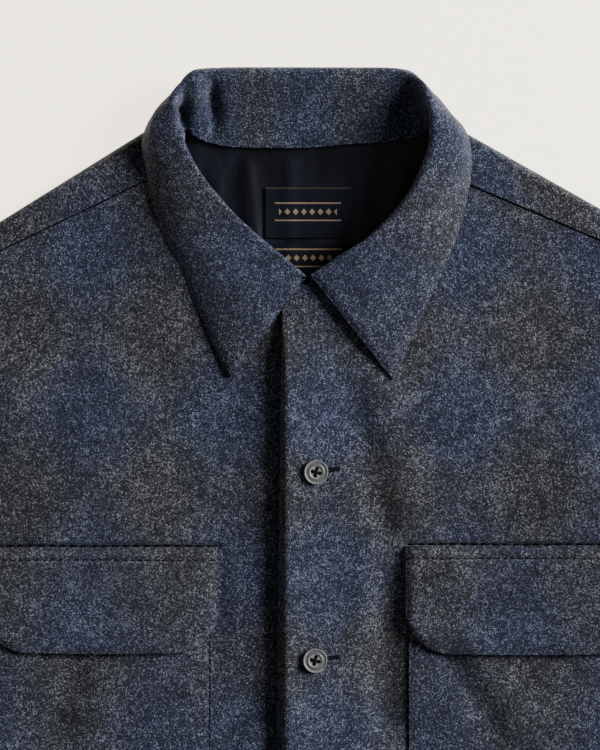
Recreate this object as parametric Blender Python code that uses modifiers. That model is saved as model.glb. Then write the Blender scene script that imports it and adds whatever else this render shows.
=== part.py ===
"""Wool button-up shirt, laid out flat on its back with the collar closed.

Every cut piece is its own closed solid: back, yoke over the shoulders, yoke lining,
two bare labels, two fronts, collar, pockets with flaps, sleeves, cuffs and buttons.

Tables and sizes are in millimetres and become metres where a mesh is made.
X runs across the shirt towards the wearer's left, Y runs from the hem to the collar and
Z is up from the surface. The tables start at the middle of the back neck seam.
At the end the whole shirt is moved so that its origin is the bottom centre of its box.
"""

import math

import bmesh
import bpy
from mathutils import Vector

MM = 0.001

# Cloth and clearances
WALL = 1.2
GAP = 0.3
LAYER = WALL + GAP
LINING_WALL = 1.0
LABEL_WALL = 1.0
FLAP_WALL = 1.8
COLLAR_WALL = 2.4
CUFF_WALL = 2.0
SEAM = 0.5
UNDERARM_SEAM = 0.9

# Levels of the middle of each cloth
BACK_Z = WALL / 2
LINING_Z = WALL + GAP + LINING_WALL / 2
LABEL_Z = WALL + GAP + LINING_WALL + GAP + LABEL_WALL / 2
FRONT_REST_Z = BACK_Z + LAYER

# Body outline, X is positive on both sides
SIGN = {"left": 1, "right": -1}
NECK_X = 74.0
SHOULDER_NECK_Y = {"left": 20.2, "right": 20.2}
SHOULDER = {"left": (233.0, -69.0), "right": (232.0, -78.0)}
ARMHOLE_BEND = {"left": (236.0, -235.0), "right": (235.0, -241.0)}
UNDERARM = {"left": (288.0, -312.0), "right": (287.0, -316.0)}
WAIST_Y = -520.0
WAIST_X = 284.0
HEM_Y = -757.0
HEM_X = 292.0
BACK_YOKE_Y = -100.0
YOKE_SEAM_NECK_Y = {"left": -15.0, "right": -11.0}
YOKE_SEAM_ARM_Y = {"left": -82.5, "right": -87.0}
FRONT_NECK_Y = -80.6
NECK_ROUNDNESS = 1.2
FREE_EDGE_X = {"left": -14.5, "right": -24.6}
FREE_EDGE_LEAN = {"left": -0.0125, "right": 0.0}

# Back neck seam: x, y
BACK_NECK = [
    (-74.0, 15.0),
    (-71.5, 9.5),
    (-67.5, 5.6),
    (-59.3, 1.9),
    (-36.7, 0.2),
    (-15.0, -0.1),
    (8.0, 0.7),
    (29.9, 2.5),
    (49.9, 3.8),
    (60.0, 4.4),
    (67.5, 6.2),
    (71.5, 10.0),
    (74.0, 15.0),
]

# Height of the fronts above their rest level
BODY_LOFT = 3.2
NECK_RISE = 3.0
NECK_RISE_NEAR = 80.0
NECK_RISE_FAR = 170.0
SHOULDER_FADE = 95.0
FOLD_TOP_NECK = 9.2
FOLD_TOP_ARM = 5.4
LAP_LIFT = 2.0
LAP_FULL_X = 27.0
LAP_END_X = 54.0
EDGE_LIFT = 2.4

# Folds of the fronts: from x, y to x, y, half width, height
FRONT_FOLDS = [
    (50.0, -150.0, 49.0, -300.0, 10.0, -2.0),
    (-47.0, -215.0, -46.0, -300.0, 8.0, -1.3),
    (118.0, -110.0, 92.0, -205.0, 24.0, 1.1),
    (-128.0, -105.0, -96.0, -200.0, 26.0, 1.2),
    (-60.0, -150.0, -70.0, -205.0, 17.0, -0.9),
    (262.0, -330.0, 219.0, -412.0, 15.0, 2.2),
    (262.0, -390.0, 172.0, -505.0, 16.0, 2.0),
    (-258.0, -332.0, -216.0, -418.0, 16.0, 2.3),
    (-262.0, -398.0, -160.0, -520.0, 17.0, 2.1),
    (96.0, -455.0, 122.0, -690.0, 22.0, 2.6),
    (44.0, -440.0, 52.0, -640.0, 16.0, -1.8),
    (205.0, -530.0, 190.0, -720.0, 19.0, 2.0),
    (-92.0, -460.0, -84.0, -705.0, 21.0, 2.4),
    (-44.0, -420.0, -52.0, -600.0, 14.0, -1.6),
    (-188.0, -545.0, -200.0, -715.0, 19.0, 2.2),
    (-140.0, -520.0, -148.0, -650.0, 16.0, -1.3),
    (224.0, -150.0, 212.0, -262.0, 13.0, 1.3),
    (-222.0, -160.0, -212.0, -270.0, 13.0, 1.4),
]

# Columns and rows of the front grids
FRONT_COLUMNS = [-6, 8, 24, 37, 46, 55, 68, 88, 112, 136, 162, 190, 214, 236]
COLUMN_SPAN = (-16.0, 288.0)
COLUMNS_LOOSEN = (-130.0, -215.0)
NECK_ROWS = 7
FRONT_ROWS = [
    -100, -120, -142, -166, -190, -214, -236, -258, -280, -302, -326,
    -354, -384, -414, -446, -482, -520, -560, -602, -645, -690, -727, -757,
]

# Yoke grid
SHOULDER_COLUMNS = 8
YOKE_BACK_STEPS = (0.0, 0.4, 0.8, 1.0)
FOLD_ANGLES = (-60, -30, 0, 30, 60, 90)
YOKE_FRONT_STEPS = (0.3, 0.65, 1.0)
LINING_REACH_X = 188.0
LINING_INSET = 9.0
LINING_END_Y = -97.0

# Labels: middle x, middle y, width, height
LABELS = {
    "neck_label_upper": (0.0, -39.2, 49.8, 29.5),
    "neck_label_lower": (0.6, -66.0, 47.6, 18.2),
}

# Pockets and flaps, X is positive on both sides
POCKET_X = {"left": (58.6, 189.5), "right": (57.5, 189.0)}
POCKET_Y = (-244.0, -398.0)
POCKET_CORNER = 14.0
POCKET_STAND = LAYER + 0.3
FLAP_X = {"left": (56.8, 199.0), "right": (52.4, 194.9)}
FLAP_Y = {"left": (-232.4, -294.0), "right": (-233.4, -293.5)}
FLAP_CORNER = 17.0
FLAP_BOW = 1.5
FLAP_STAND_TOP = 1.9
FLAP_STAND = 4.0
FLAP_LIFT = 1.8
FLAP_SETTLE_Y = 8.0

# Collar sections from the back to the front end. The roll is the line where it turns over.
# base x y z, roll x y z, angle of the turn, outer edge x y z
COLLAR_TURN = 6.5
COLLAR_BACK = (0.0, -1.2, 4.1, 0.0, 44.6, 14.0, -88, 0.0, 7.0, 1.2)
COLLAR_RIGHT = [
    (-24.0, -1.4, 4.1, -25.0, 44.7, 14.5, -88, -27.0, 7.0, 1.2),
    (-48.0, -0.4, 4.2, -50.0, 44.5, 16.5, -86, -52.0, 9.5, 1.2),
    (-62.0, 3.4, 5.2, -64.5, 42.4, 21.5, -74, -67.0, 26.0, 1.6),
    (-69.6, 8.2, 7.0, -73.0, 36.0, 29.0, -50, -78.0, 28.5, 3.2),
    (-72.0, 5.0, 8.6, -77.4, 26.0, 36.0, -24, -86.5, 20.5, 8.0),
    (-72.2, -4.0, 9.4, -76.0, 12.0, 40.5, -6, -92.6, 10.5, 12.6),
    (-69.3, -16.0, 9.4, -71.2, -1.2, 42.5, 0, -95.0, -1.0, 12.6),
    (-60.8, -27.5, 9.4, -64.6, -14.6, 42.0, 0, -93.6, -17.0, 12.4),
    (-50.2, -39.0, 9.5, -55.6, -26.8, 39.5, 0, -90.0, -33.0, 12.2),
    (-38.6, -50.5, 9.6, -44.2, -39.8, 35.0, 0, -83.8, -50.5, 12.0),
    (-26.2, -61.2, 9.8, -31.0, -52.4, 29.5, 0, -75.0, -70.0, 11.8),
    (-14.6, -69.8, 10.2, -17.6, -63.6, 23.5, -2, -63.6, -95.4, 11.4),
    (-5.8, -75.4, 10.8, -7.2, -72.4, 18.6, -6, -54.4, -116.6, 11.4),
    (-1.8, -78.0, 11.2, -1.9, -77.2, 16.4, -10, -44.6, -134.4, 12.2),
]
COLLAR_LEFT = [
    (24.0, 0.8, 4.1, 24.0, 44.7, 14.5, -88, 26.0, 8.0, 1.2),
    (46.0, 2.2, 4.2, 47.0, 44.5, 17.0, -86, 49.0, 11.0, 1.2),
    (62.0, 4.6, 5.2, 58.0, 43.0, 22.0, -76, 62.0, 27.5, 1.6),
    (69.6, 9.0, 7.0, 67.0, 38.6, 29.5, -52, 74.0, 30.5, 3.0),
    (72.0, 6.0, 8.6, 70.6, 27.0, 36.5, -24, 84.0, 18.6, 7.6),
    (72.2, -5.0, 9.4, 72.0, 13.0, 41.0, -6, 91.4, 8.6, 12.6),
    (70.0, -16.0, 9.4, 71.2, 0.0, 43.0, 0, 94.2, -4.0, 12.6),
    (63.4, -27.5, 9.4, 67.2, -11.6, 42.5, 0, 93.6, -18.0, 12.4),
    (52.8, -39.0, 9.5, 60.0, -27.0, 40.0, 0, 91.0, -35.5, 12.2),
    (40.6, -50.5, 9.8, 47.6, -42.8, 35.5, 0, 85.8, -52.5, 12.0),
    (27.4, -61.2, 10.6, 33.4, -56.0, 30.0, 0, 78.0, -71.0, 11.8),
    (15.6, -69.4, 11.8, 19.6, -64.8, 24.5, -2, 69.6, -90.6, 11.4),
    (6.6, -75.0, 12.2, 9.2, -71.8, 20.0, -6, 59.6, -112.4, 11.4),
    (2.0, -77.4, 12.6, 2.2, -76.0, 17.6, -10, 49.4, -136.0, 12.2),
]
COLLAR_STEPS = 2
PROFILE_STEPS = (1, 2, 2, 2, 2)
STAND_BELLY = 0.05
FALL_BELLY = 3.0

# Sleeve sections, X is positive on both sides: the fold at the top of the sleeve x y, the
# fold under the arm x y, inward pull of the section, radius of the top fold, of the lower fold, puff
SLEEVE_SECTIONS = [
    (293.0, -103.0, 301.0, -325.0, 24.0, 2.5, 1.4, 1.4),
    (352.0, -138.0, 320.0, -341.5, 17.0, 2.4, 1.9, 1.8),
    (403.0, -172.0, 348.0, -362.0, 11.0, 2.3, 2.1, 1.6),
    (457.0, -214.0, 381.0, -384.0, 7.0, 2.3, 2.2, 1.4),
    (505.0, -262.0, 409.0, -405.0, 4.0, 2.3, 2.3, 1.5),
    (555.0, -325.0, 444.0, -440.0, 2.0, 2.2, 2.2, 1.4),
    (601.0, -388.0, 488.0, -486.0, 0.0, 2.2, 2.1, 1.1),
    (644.0, -447.0, 548.5, -532.0, 0.0, 2.2, 2.1, 0.8),
]
SLEEVE_SHIFT = {"left": (0.0, 0.0), "right": (3.0, -7.0)}
SLEEVE_TURN = {"left": 0.0, "right": -1.0}
SLEEVE_STEPS = 3
SLEEVE_FOLD_ANGLES = (-90, -30, 30, 90)
SLEEVE_TOP_POINTS = 8
SLEEVE_BOTTOM_POINTS = 2
SLEEVE_JOIN_ROWS = 1.6

# Folds of the sleeves: from x, y to x, y, half width, height
SLEEVE_FOLDS = [
    (308.0, -300.0, 356.0, -190.0, 15.0, 2.4),
    (338.0, -325.0, 420.0, -240.0, 14.0, 2.0),
    (420.0, -395.0, 505.0, -315.0, 14.0, 2.8),
    (385.0, -372.0, 452.0, -272.0, 12.0, 1.9),
    (462.0, -432.0, 552.0, -378.0, 13.0, 2.0),
    (600.0, -478.0, 556.0, -430.0, 12.0, 1.5),
]

# Cuffs
CUFF_LENGTH = 65.0
CUFF_INSET = 3.0
CUFF_FOLD_RADIUS = 2.5
CUFF_PUFF = 0.5
CUFF_ROWS = 4
CUFF_TOP_POINTS = 6

# Buttons
BUTTON_X = 4.6
BUTTON_TOP_Y = -189.7
BUTTON_SPACING = 109.1
BUTTON_COUNT = 5
BUTTON_RADIUS = 7.0
BUTTON_HEIGHT = 2.6
BUTTON_RIM = 1.3
BUTTON_DISH = 0.7
BUTTON_HOLE_RADIUS = 0.85
BUTTON_HOLE_OFFSET = 1.75
BUTTON_TURN = 20.0
CUFF_BUTTON_SCALE = 0.8
CUFF_BUTTON_ALONG = 0.5
CUFF_BUTTON_ACROSS = 0.84
BUTTON_SIDES = 16
HOLE_SIDES = 6

# Finishes: colour, roughness
FINISHES = {
    "wool": ((0.045, 0.055, 0.09, 1.0), 0.95),
    "lining": ((0.004, 0.005, 0.01, 1.0), 0.45),
    "label": ((0.01, 0.013, 0.024, 1.0), 0.6),
    "button": ((0.1, 0.1, 0.11, 1.0), 0.4),
}


# Plain helpers

def mix(a, b, share):
    """Value a share of the way from a to b."""
    return a + (b - a) * share


def smooth(start, end, value):
    """Smooth step from 0 at start to 1 at end."""
    share = min(1.0, max(0.0, (value - start) / (end - start)))
    return share * share * (3 - 2 * share)


def spline(points, share, span):
    """Point on the smooth curve between points[span] and points[span + 1]."""
    last = len(points) - 1
    a = points[max(span - 1, 0)]
    b = points[span]
    c = points[min(span + 1, last)]
    d = points[min(span + 2, last)]
    result = []
    for p0, p1, p2, p3 in zip(a, b, c, d):
        cubic = -p0 + 3 * p1 - 3 * p2 + p3
        square = 2 * p0 - 5 * p1 + 4 * p2 - p3
        result.append(0.5 * (2 * p1 + (p2 - p0) * share + square * share ** 2 + cubic * share ** 3))
    return result


def along_rows(rows, steps):
    """Table rows with smooth ones set between them, steps spans for each pair."""
    result = [list(rows[0])]
    for span in range(len(rows) - 1):
        for step in range(1, steps + 1):
            result.append(spline(rows, step / steps, span))
    return result


def at_x(table, x):
    """Second column of a table at x, by straight lines."""
    for (x0, y0), (x1, y1) in zip(table, table[1:]):
        if x <= x1:
            return mix(y0, y1, max(0.0, (x - x0) / (x1 - x0)))
    return table[-1][1]


# Body outline

def shoulder_y(side, x):
    """Height of the shoulder fold at x."""
    arm_x, arm_y = SHOULDER[side]
    share = (x - NECK_X) / (arm_x - NECK_X)
    return mix(SHOULDER_NECK_Y[side], arm_y, share)


def armhole_point(side, share):
    """Point of the armhole, from the shoulder to the underarm."""
    ends = zip(SHOULDER[side], ARMHOLE_BEND[side], UNDERARM[side])
    return [(1 - share) ** 2 * a + 2 * share * (1 - share) * b + share ** 2 * c for a, b, c in ends]


def armhole_x(side, y):
    """Armhole's x at a height y."""
    top = SHOULDER[side][1]
    bend = ARMHOLE_BEND[side][1]
    low = UNDERARM[side][1]
    square = top - 2 * bend + low
    slope = 2 * (bend - top)
    share = (-slope - math.sqrt(slope ** 2 - 4 * square * (top - y))) / (2 * square)
    return armhole_point(side, min(1.0, max(0.0, share)))[0]


def outer_x(side, y):
    """Outer edge of the front and the back at y: armhole, then side seam."""
    arm_x, arm_y = UNDERARM[side]
    if y > arm_y:
        return armhole_x(side, y)
    if y > WAIST_Y:
        return mix(WAIST_X, arm_x, smooth(WAIST_Y, arm_y, y))
    return mix(HEM_X, WAIST_X, smooth(HEM_Y, WAIST_Y, y))


def yoke_seam_x(side, y):
    """Front yoke seam's x at y."""
    top = YOKE_SEAM_NECK_Y[side]
    low = YOKE_SEAM_ARM_Y[side]
    return mix(NECK_X, armhole_x(side, low), (y - top) / (low - top))


def yoke_seam_y(side, x):
    """Front yoke seam's y at x."""
    low = YOKE_SEAM_ARM_Y[side]
    share = (x - NECK_X) / (armhole_x(side, low) - NECK_X)
    return mix(YOKE_SEAM_NECK_Y[side], low, share)


def neckline_x(side, y):
    """Front neckline's x at y."""
    top = YOKE_SEAM_NECK_Y[side]
    share = min(1.0, (top - y) / (top - FRONT_NECK_Y))
    return NECK_X * (1 - share ** NECK_ROUNDNESS) ** (1 / NECK_ROUNDNESS)


def free_edge_x(side, y):
    """Free front edge's x at y, past the centre line."""
    return FREE_EDGE_X[side] + FREE_EDGE_LEAN[side] * (FRONT_NECK_Y - y)


# Height of the fronts

def fold_height(table, x, y):
    """Sum of the soft folds at x, y."""
    total = 0.0
    for x0, y0, x1, y1, half_width, height in table:
        run = math.hypot(x1 - x0, y1 - y0)
        along = ((x - x0) * (x1 - x0) + (y - y0) * (y1 - y0)) / run
        across = ((y - y0) * (x1 - x0) - (x - x0) * (y1 - y0)) / run
        ends = smooth(-half_width, 2 * half_width, along) * smooth(-half_width, 2 * half_width, run - along)
        total += height * ends * math.exp(-((across / half_width) ** 2))
    return total


def shoulder_top(x):
    """Height of the shoulder fold's upper side at x."""
    share = min(1.0, max(0.0, (abs(x) - NECK_X) / (SHOULDER["left"][0] - NECK_X)))
    return mix(FOLD_TOP_NECK, FOLD_TOP_ARM, share)


def front_z(x, y):
    """Middle of the front cloth, and of the yoke's front strip, at x, y."""
    side = "left" if x > 0 else "right"
    width = abs(x)
    arm_x, arm_y = UNDERARM[side]
    inside = smooth(0, 62, outer_x(side, y) - width)
    at_seam = 1 - smooth(arm_y, arm_y + 70, y)
    loft = BODY_LOFT * mix(1.0, inside, at_seam) * smooth(HEM_Y, HEM_Y + 70, y)
    reach = math.hypot(x, y + 10)
    neck = NECK_RISE * (1 - smooth(NECK_RISE_NEAR, NECK_RISE_FAR, reach))
    folds = fold_height(FRONT_FOLDS, x, y) * mix(1.0, inside, at_seam) * smooth(HEM_Y, HEM_Y + 30, y)
    low = FRONT_REST_Z + max(0.0, loft + neck + folds)
    drop = shoulder_y(side, width) - y
    return mix(shoulder_top(x), low, smooth(0, SHOULDER_FADE, drop))


def lap_lift(x, y):
    """How far the left front is lifted over the right one."""
    lap = LAP_LIFT * (1 - smooth(LAP_FULL_X, LAP_END_X, x))
    edge = EDGE_LIFT * (1 - smooth(FREE_EDGE_X["left"], 9.0, x)) * (1 - smooth(-150, -96, y))
    return lap + edge


def top_front_z(x, y):
    """Middle of the topmost front cloth at x, y."""
    if x > free_edge_x("left", y):
        return front_z(x, y) + lap_lift(x, y)
    return front_z(x, y)


# Meshes and objects

def finish(name):
    """Material of one of the shirt's finishes."""
    colour, roughness = FINISHES[name]
    material = bpy.data.materials.get(name) or bpy.data.materials.new(name)
    material.use_nodes = True
    shader = material.node_tree.nodes["Principled BSDF"]
    shader.inputs["Base Color"].default_value = colour
    shader.inputs["Roughness"].default_value = roughness
    material.diffuse_color = colour
    return material


def add_object(name, mesh, collection, look):
    """Object with its mesh and finish in the collection."""
    mesh.materials.append(finish(look))
    thing = bpy.data.objects.new(name, mesh)
    collection.objects.link(thing)
    return thing


def add_wall(name, points, faces, wall, collection, look):
    """Cloth wall, half of it on each side of its middle surface."""
    mesh = bpy.data.meshes.new(name)
    mesh.from_pydata([Vector(p) * MM for p in points], [], faces)
    work = bmesh.new()
    work.from_mesh(mesh)
    bmesh.ops.remove_doubles(work, verts=work.verts, dist=0.01 * MM)
    work.to_mesh(mesh)
    work.free()
    thing = add_object(name, mesh, collection, look)
    solid = thing.modifiers.new("wall", "SOLIDIFY")
    solid.thickness = wall * MM
    solid.offset = 0.0
    solid.use_quality_normals = True
    mesh.shade_smooth()
    return thing


def grid_faces(rows, columns, closed=False):
    """Faces of a grid of points kept row by row."""
    faces = []
    spans = columns if closed else columns - 1
    for row in range(rows - 1):
        for column in range(spans):
            following = (column + 1) % columns
            a = row * columns + column
            b = row * columns + following
            faces.append((a, b, b + columns, a + columns))
    return faces


def add_sheet(name, rows, wall, collection, look, closed=False):
    """Cloth wall from rows of points."""
    points = [point for row in rows for point in row]
    faces = grid_faces(len(rows), len(rows[0]), closed)
    return add_wall(name, points, faces, wall, collection, look)


# Fronts

def front_row(side, y, inner, outer):
    """x of each column of a front at y, X positive on both sides."""
    start, end = COLUMN_SPAN
    fixed = smooth(COLUMNS_LOOSEN[0], COLUMNS_LOOSEN[1], y)
    result = [inner]
    for column in FRONT_COLUMNS:
        spread = mix(inner, outer, (column - start) / (end - start))
        result.append(mix(spread, column, fixed))
    result.append(outer)
    return result


def front_rows(side):
    """Points of a front, row by row from the yoke seam to the hem."""
    sign = SIGN[side]
    top = YOKE_SEAM_NECK_Y[side]
    low = YOKE_SEAM_ARM_Y[side]
    rows = []
    for step in range(NECK_ROWS):
        y = mix(top, low, step / (NECK_ROWS - 1)) - SEAM
        inner = neckline_x(side, y) if step < NECK_ROWS - 1 else FREE_EDGE_X[side]
        rows.append((y, inner, yoke_seam_x(side, y + SEAM)))
    for y in FRONT_ROWS:
        rows.append((y, free_edge_x(side, y), outer_x(side, y)))
    result = []
    for y, inner, outer in rows:
        row = []
        for x in front_row(side, y, inner, outer):
            lift = lap_lift(x, y) if side == "left" else 0.0
            row.append((sign * x, y, front_z(sign * x, y) + lift))
        result.append(row)
    return result


def add_front(side, collection):
    """One front of the shirt."""
    return add_sheet("front_" + side, front_rows(side), WALL, collection, "wool")


# Back, yoke and lining

def add_back(collection):
    """Back panel below the yoke, flat on the surface."""
    outline = []
    for side in ("left", "right"):
        edge = [(outer_x(side, y), y) for y in FRONT_ROWS if y < BACK_YOKE_Y]
        edge.insert(0, (outer_x(side, BACK_YOKE_Y), BACK_YOKE_Y - SEAM))
        edge = [(SIGN[side] * x, y) for x, y in edge]
        outline += edge if side == "left" else edge[::-1]
    curve = bpy.data.curves.new("back_outline", "CURVE")
    curve.dimensions = "2D"
    curve.fill_mode = "BOTH"
    curve.extrude = WALL / 2 * MM
    line = curve.splines.new("POLY")
    line.points.add(len(outline) - 1)
    for point, (x, y) in zip(line.points, outline):
        point.co = (x * MM, y * MM, 0.0, 1.0)
    line.use_cyclic_u = True
    drawn = bpy.data.objects.new("back_outline", curve)
    collection.objects.link(drawn)
    bpy.context.view_layer.update()
    mesh = bpy.data.meshes.new_from_object(drawn.evaluated_get(bpy.context.evaluated_depsgraph_get()))
    bpy.data.objects.remove(drawn)
    work = bmesh.new()
    work.from_mesh(mesh)
    bmesh.ops.remove_doubles(work, verts=work.verts, dist=0.01 * MM)
    bmesh.ops.translate(work, verts=work.verts, vec=(0, 0, BACK_Z * MM))
    work.to_mesh(mesh)
    work.free()
    mesh.name = "back"
    return add_object("back", mesh, collection, "wool")


def shoulder_fold_radius(x):
    """Radius of the fold that the yoke makes along the shoulder."""
    return (shoulder_top(x) - BACK_Z) / 2


def yoke_column(side, x):
    """Points of a yoke column from the back seam over the shoulder to the front seam."""
    sign = SIGN[side]
    radius = shoulder_fold_radius(x)
    crest = shoulder_y(side, x)
    flat_end = crest - radius
    points = [(sign * x, mix(BACK_YOKE_Y, flat_end, share), BACK_Z) for share in YOKE_BACK_STEPS]
    for angle in FOLD_ANGLES:
        turn = math.radians(angle)
        y = crest - radius * (1 - math.cos(turn))
        points.append((sign * x, y, BACK_Z + radius * (1 + math.sin(turn))))
    seam = yoke_seam_y(side, x) + SEAM
    for share in YOKE_FRONT_STEPS:
        y = mix(flat_end, seam, share)
        points.append((sign * x, y, front_z(sign * x, y)))
    return points


def shoulder_columns(side):
    """x of each yoke column from the neck to the armhole."""
    arm_x = SHOULDER[side][0]
    return [mix(NECK_X, arm_x, step / SHOULDER_COLUMNS) for step in range(SHOULDER_COLUMNS + 1)]


def add_yoke(collection):
    """Yoke, flat under the neck and folded over both shoulders."""
    columns = [yoke_column("right", x) for x in reversed(shoulder_columns("right"))]
    for x, neck_y in BACK_NECK[1:-1]:
        columns.append([(x, mix(BACK_YOKE_Y, neck_y, share), BACK_Z) for share in YOKE_BACK_STEPS])
    columns += [yoke_column("left", x) for x in shoulder_columns("left")]
    points = []
    starts = []
    for column in columns:
        starts.append(len(points))
        points += column
    faces = []
    for number in range(len(columns) - 1):
        shared = min(len(columns[number]), len(columns[number + 1]))
        for step in range(shared - 1):
            a = starts[number] + step
            b = starts[number + 1] + step
            faces.append((a, b, b + 1, a + 1))
    return add_wall("yoke", points, faces, WALL, collection, "wool")


def lining_top(x):
    """Upper edge of the lining at x."""
    if abs(x) < NECK_X:
        return at_x(BACK_NECK, x) - SEAM
    side = "left" if x > 0 else "right"
    return shoulder_y(side, abs(x)) - LINING_INSET


def add_lining(collection):
    """Yoke lining, seen inside the neck."""
    middle = [x for x, y in BACK_NECK[1:-1]]
    outer = [NECK_X, 100.0, 128.0, 158.0, LINING_REACH_X]
    columns = [-x for x in reversed(outer)] + middle + outer
    rows = []
    for share in (0.0, 0.3, 0.65, 1.0):
        rows.append([(x, mix(LINING_END_Y, lining_top(x), share), LINING_Z) for x in columns])
    return add_sheet("yoke_lining", rows, LINING_WALL, collection, "lining")


def add_label(name, collection):
    """Bare woven label on the lining."""
    x, y, width, height = LABELS[name]
    rows = []
    for up in (-0.5, 0.0, 0.5):
        rows.append([(x + width * across, y + height * up, LABEL_Z) for across in (-0.5, -0.25, 0, 0.25, 0.5)])
    return add_sheet(name, rows, LABEL_WALL, collection, "label")


# Pockets and flaps

def corner_columns(start, end, corner):
    """x of the columns of a patch, close together at its rounded corners."""
    steps = [corner * (1 - math.cos(math.radians(angle))) for angle in (0, 30, 60, 90)]
    middle = [mix(start + corner, end - corner, step / 5) for step in range(1, 5)]
    return [start + step for step in steps] + middle + [end - step for step in reversed(steps)]


def patch_bottom(x, start, end, low, corner, bow):
    """Lower edge of a patch at x, with rounded corners and a slight bow."""
    inset = max(0.0, corner - min(x - start, end - x))
    rise = corner - math.sqrt(max(0.0, corner ** 2 - inset ** 2))
    across = (x - start) / (end - start)
    return low + rise - bow * math.sin(math.pi * across)


def add_pocket(side, collection):
    """Patch pocket on a front."""
    sign = SIGN[side]
    start, end = POCKET_X[side]
    top, low = POCKET_Y
    rows = []
    for share in (0.0, 0.16, 0.32, 0.48, 0.64, 0.8, 0.93, 1.0):
        row = []
        for x in corner_columns(start, end, POCKET_CORNER):
            y = mix(top, patch_bottom(x, start, end, low, POCKET_CORNER, 0.0), share)
            z = front_z(sign * x, y) + (lap_lift(x, y) if side == "left" else 0.0)
            row.append((sign * x, y, z + POCKET_STAND))
        rows.append(row)
    return add_sheet("pocket_" + side, rows, WALL, collection, "wool")


def flap_stand(y, top, low):
    """Height of a flap's middle over the front's, along its depth."""
    seat = mix(FLAP_STAND_TOP, FLAP_STAND, smooth(0, FLAP_SETTLE_Y, top - y))
    return seat + FLAP_LIFT * smooth(0.35, 1.0, (top - y) / (top - low))


def add_flap(side, collection):
    """Flap with rounded corners over a pocket."""
    sign = SIGN[side]
    start, end = FLAP_X[side]
    top, low = FLAP_Y[side]
    rows = []
    for share in (0.0, 0.06, 0.13, 0.32, 0.52, 0.72, 0.88, 1.0):
        row = []
        for x in corner_columns(start, end, FLAP_CORNER):
            y = mix(top, patch_bottom(x, start, end, low, FLAP_CORNER, FLAP_BOW), share)
            z = front_z(sign * x, y) + (lap_lift(x, y) if side == "left" else 0.0)
            row.append((sign * x, y, z + flap_stand(y, top, low)))
        rows.append(row)
    return add_sheet("flap_" + side, rows, FLAP_WALL, collection, "wool")


# Collar

def collar_profile(section):
    """Points of the collar from its base over the roll to the outer edge."""
    base = Vector(section[0:3])
    roll = Vector(section[3:6])
    angle = math.radians(section[6])
    edge = Vector(section[7:10])
    away = Vector((roll.x - base.x, roll.y - base.y, 0))
    if angle > math.radians(-60):
        away = Vector((edge.x - roll.x, edge.y - roll.y, 0))
    away.normalize()
    up = Vector((0, 0, 1))
    turned = roll + COLLAR_TURN * (away * math.cos(angle) + up * math.sin(angle))
    lean = math.cos(angle)
    belly = STAND_BELLY * (roll - base).length
    stand = base.lerp(roll, 0.5) + belly * (away * lean - up * (1 - lean))
    fall = turned.lerp(edge, 0.5) + FALL_BELLY * (away * lean + up * lean - up * (1 - lean))
    knots = [base, stand, roll, turned, fall, edge]
    points = [knots[0]]
    for span, steps in zip(range(5), PROFILE_STEPS):
        for step in range(1, steps + 1):
            points.append(Vector(spline(knots, step / steps, span)))
    floor = COLLAR_WALL / 2
    return [(p.x, p.y, max(p.z, floor)) for p in points]


def add_collar(collection):
    """One-piece collar, closed at the front, its fall under it at the back."""
    sections = COLLAR_RIGHT[::-1] + [COLLAR_BACK] + COLLAR_LEFT
    rows = [collar_profile(section) for section in along_rows(sections, COLLAR_STEPS)]
    return add_sheet("collar", rows, COLLAR_WALL, collection, "wool")


# Sleeves and cuffs

def tube_ring(top, under, bend, top_radius, low_radius, floor_z, height, points):
    """Flattened ring between the top fold and the lower fold of a sleeve."""
    width = math.hypot(under[0] - top[0], under[1] - top[1])
    across = ((under[0] - top[0]) / width, (under[1] - top[1]) / width)
    reach, pull = bend

    def place(distance, z):
        share = min(1.0, distance / width)
        step = share
        if abs(1 - 2 * reach) > 0.01:
            step = (-reach + math.sqrt(reach ** 2 + (1 - 2 * reach) * share)) / (1 - 2 * reach)
        bow = 2 * step * (1 - step) * pull
        x = top[0] + across[0] * distance + across[1] * bow
        y = top[1] + across[1] * distance - across[0] * bow
        return [x, y, z]

    ring = []
    for angle in SLEEVE_FOLD_ANGLES:
        turn = math.radians(angle)
        z = floor_z + top_radius * (1 + math.sin(turn))
        ring.append(place(top_radius * (1 - math.cos(turn)), z))
    for step in range(1, points + 1):
        distance = mix(top_radius, width - low_radius, step / (points + 1))
        ring.append(place(distance, height(distance / width)))
    for angle in reversed(SLEEVE_FOLD_ANGLES):
        turn = math.radians(angle)
        z = floor_z + low_radius * (1 + math.sin(turn))
        ring.append(place(width - low_radius * (1 - math.cos(turn)), z))
    for step in range(1, SLEEVE_BOTTOM_POINTS + 1):
        distance = mix(width - low_radius, top_radius, step / (SLEEVE_BOTTOM_POINTS + 1))
        ring.append(place(distance, floor_z))
    return ring


def armhole_bend(side):
    """Where along the armhole its bend pulls, as a share, and how far it pulls inwards."""
    shoulder = SHOULDER[side]
    chord_x = UNDERARM[side][0] - shoulder[0]
    chord_y = UNDERARM[side][1] - shoulder[1]
    bend_x = ARMHOLE_BEND[side][0] - shoulder[0]
    bend_y = ARMHOLE_BEND[side][1] - shoulder[1]
    length = math.hypot(chord_x, chord_y)
    along = (bend_x * chord_x + bend_y * chord_y) / length ** 2
    return along, (bend_x * chord_y - bend_y * chord_x) / length


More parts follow.
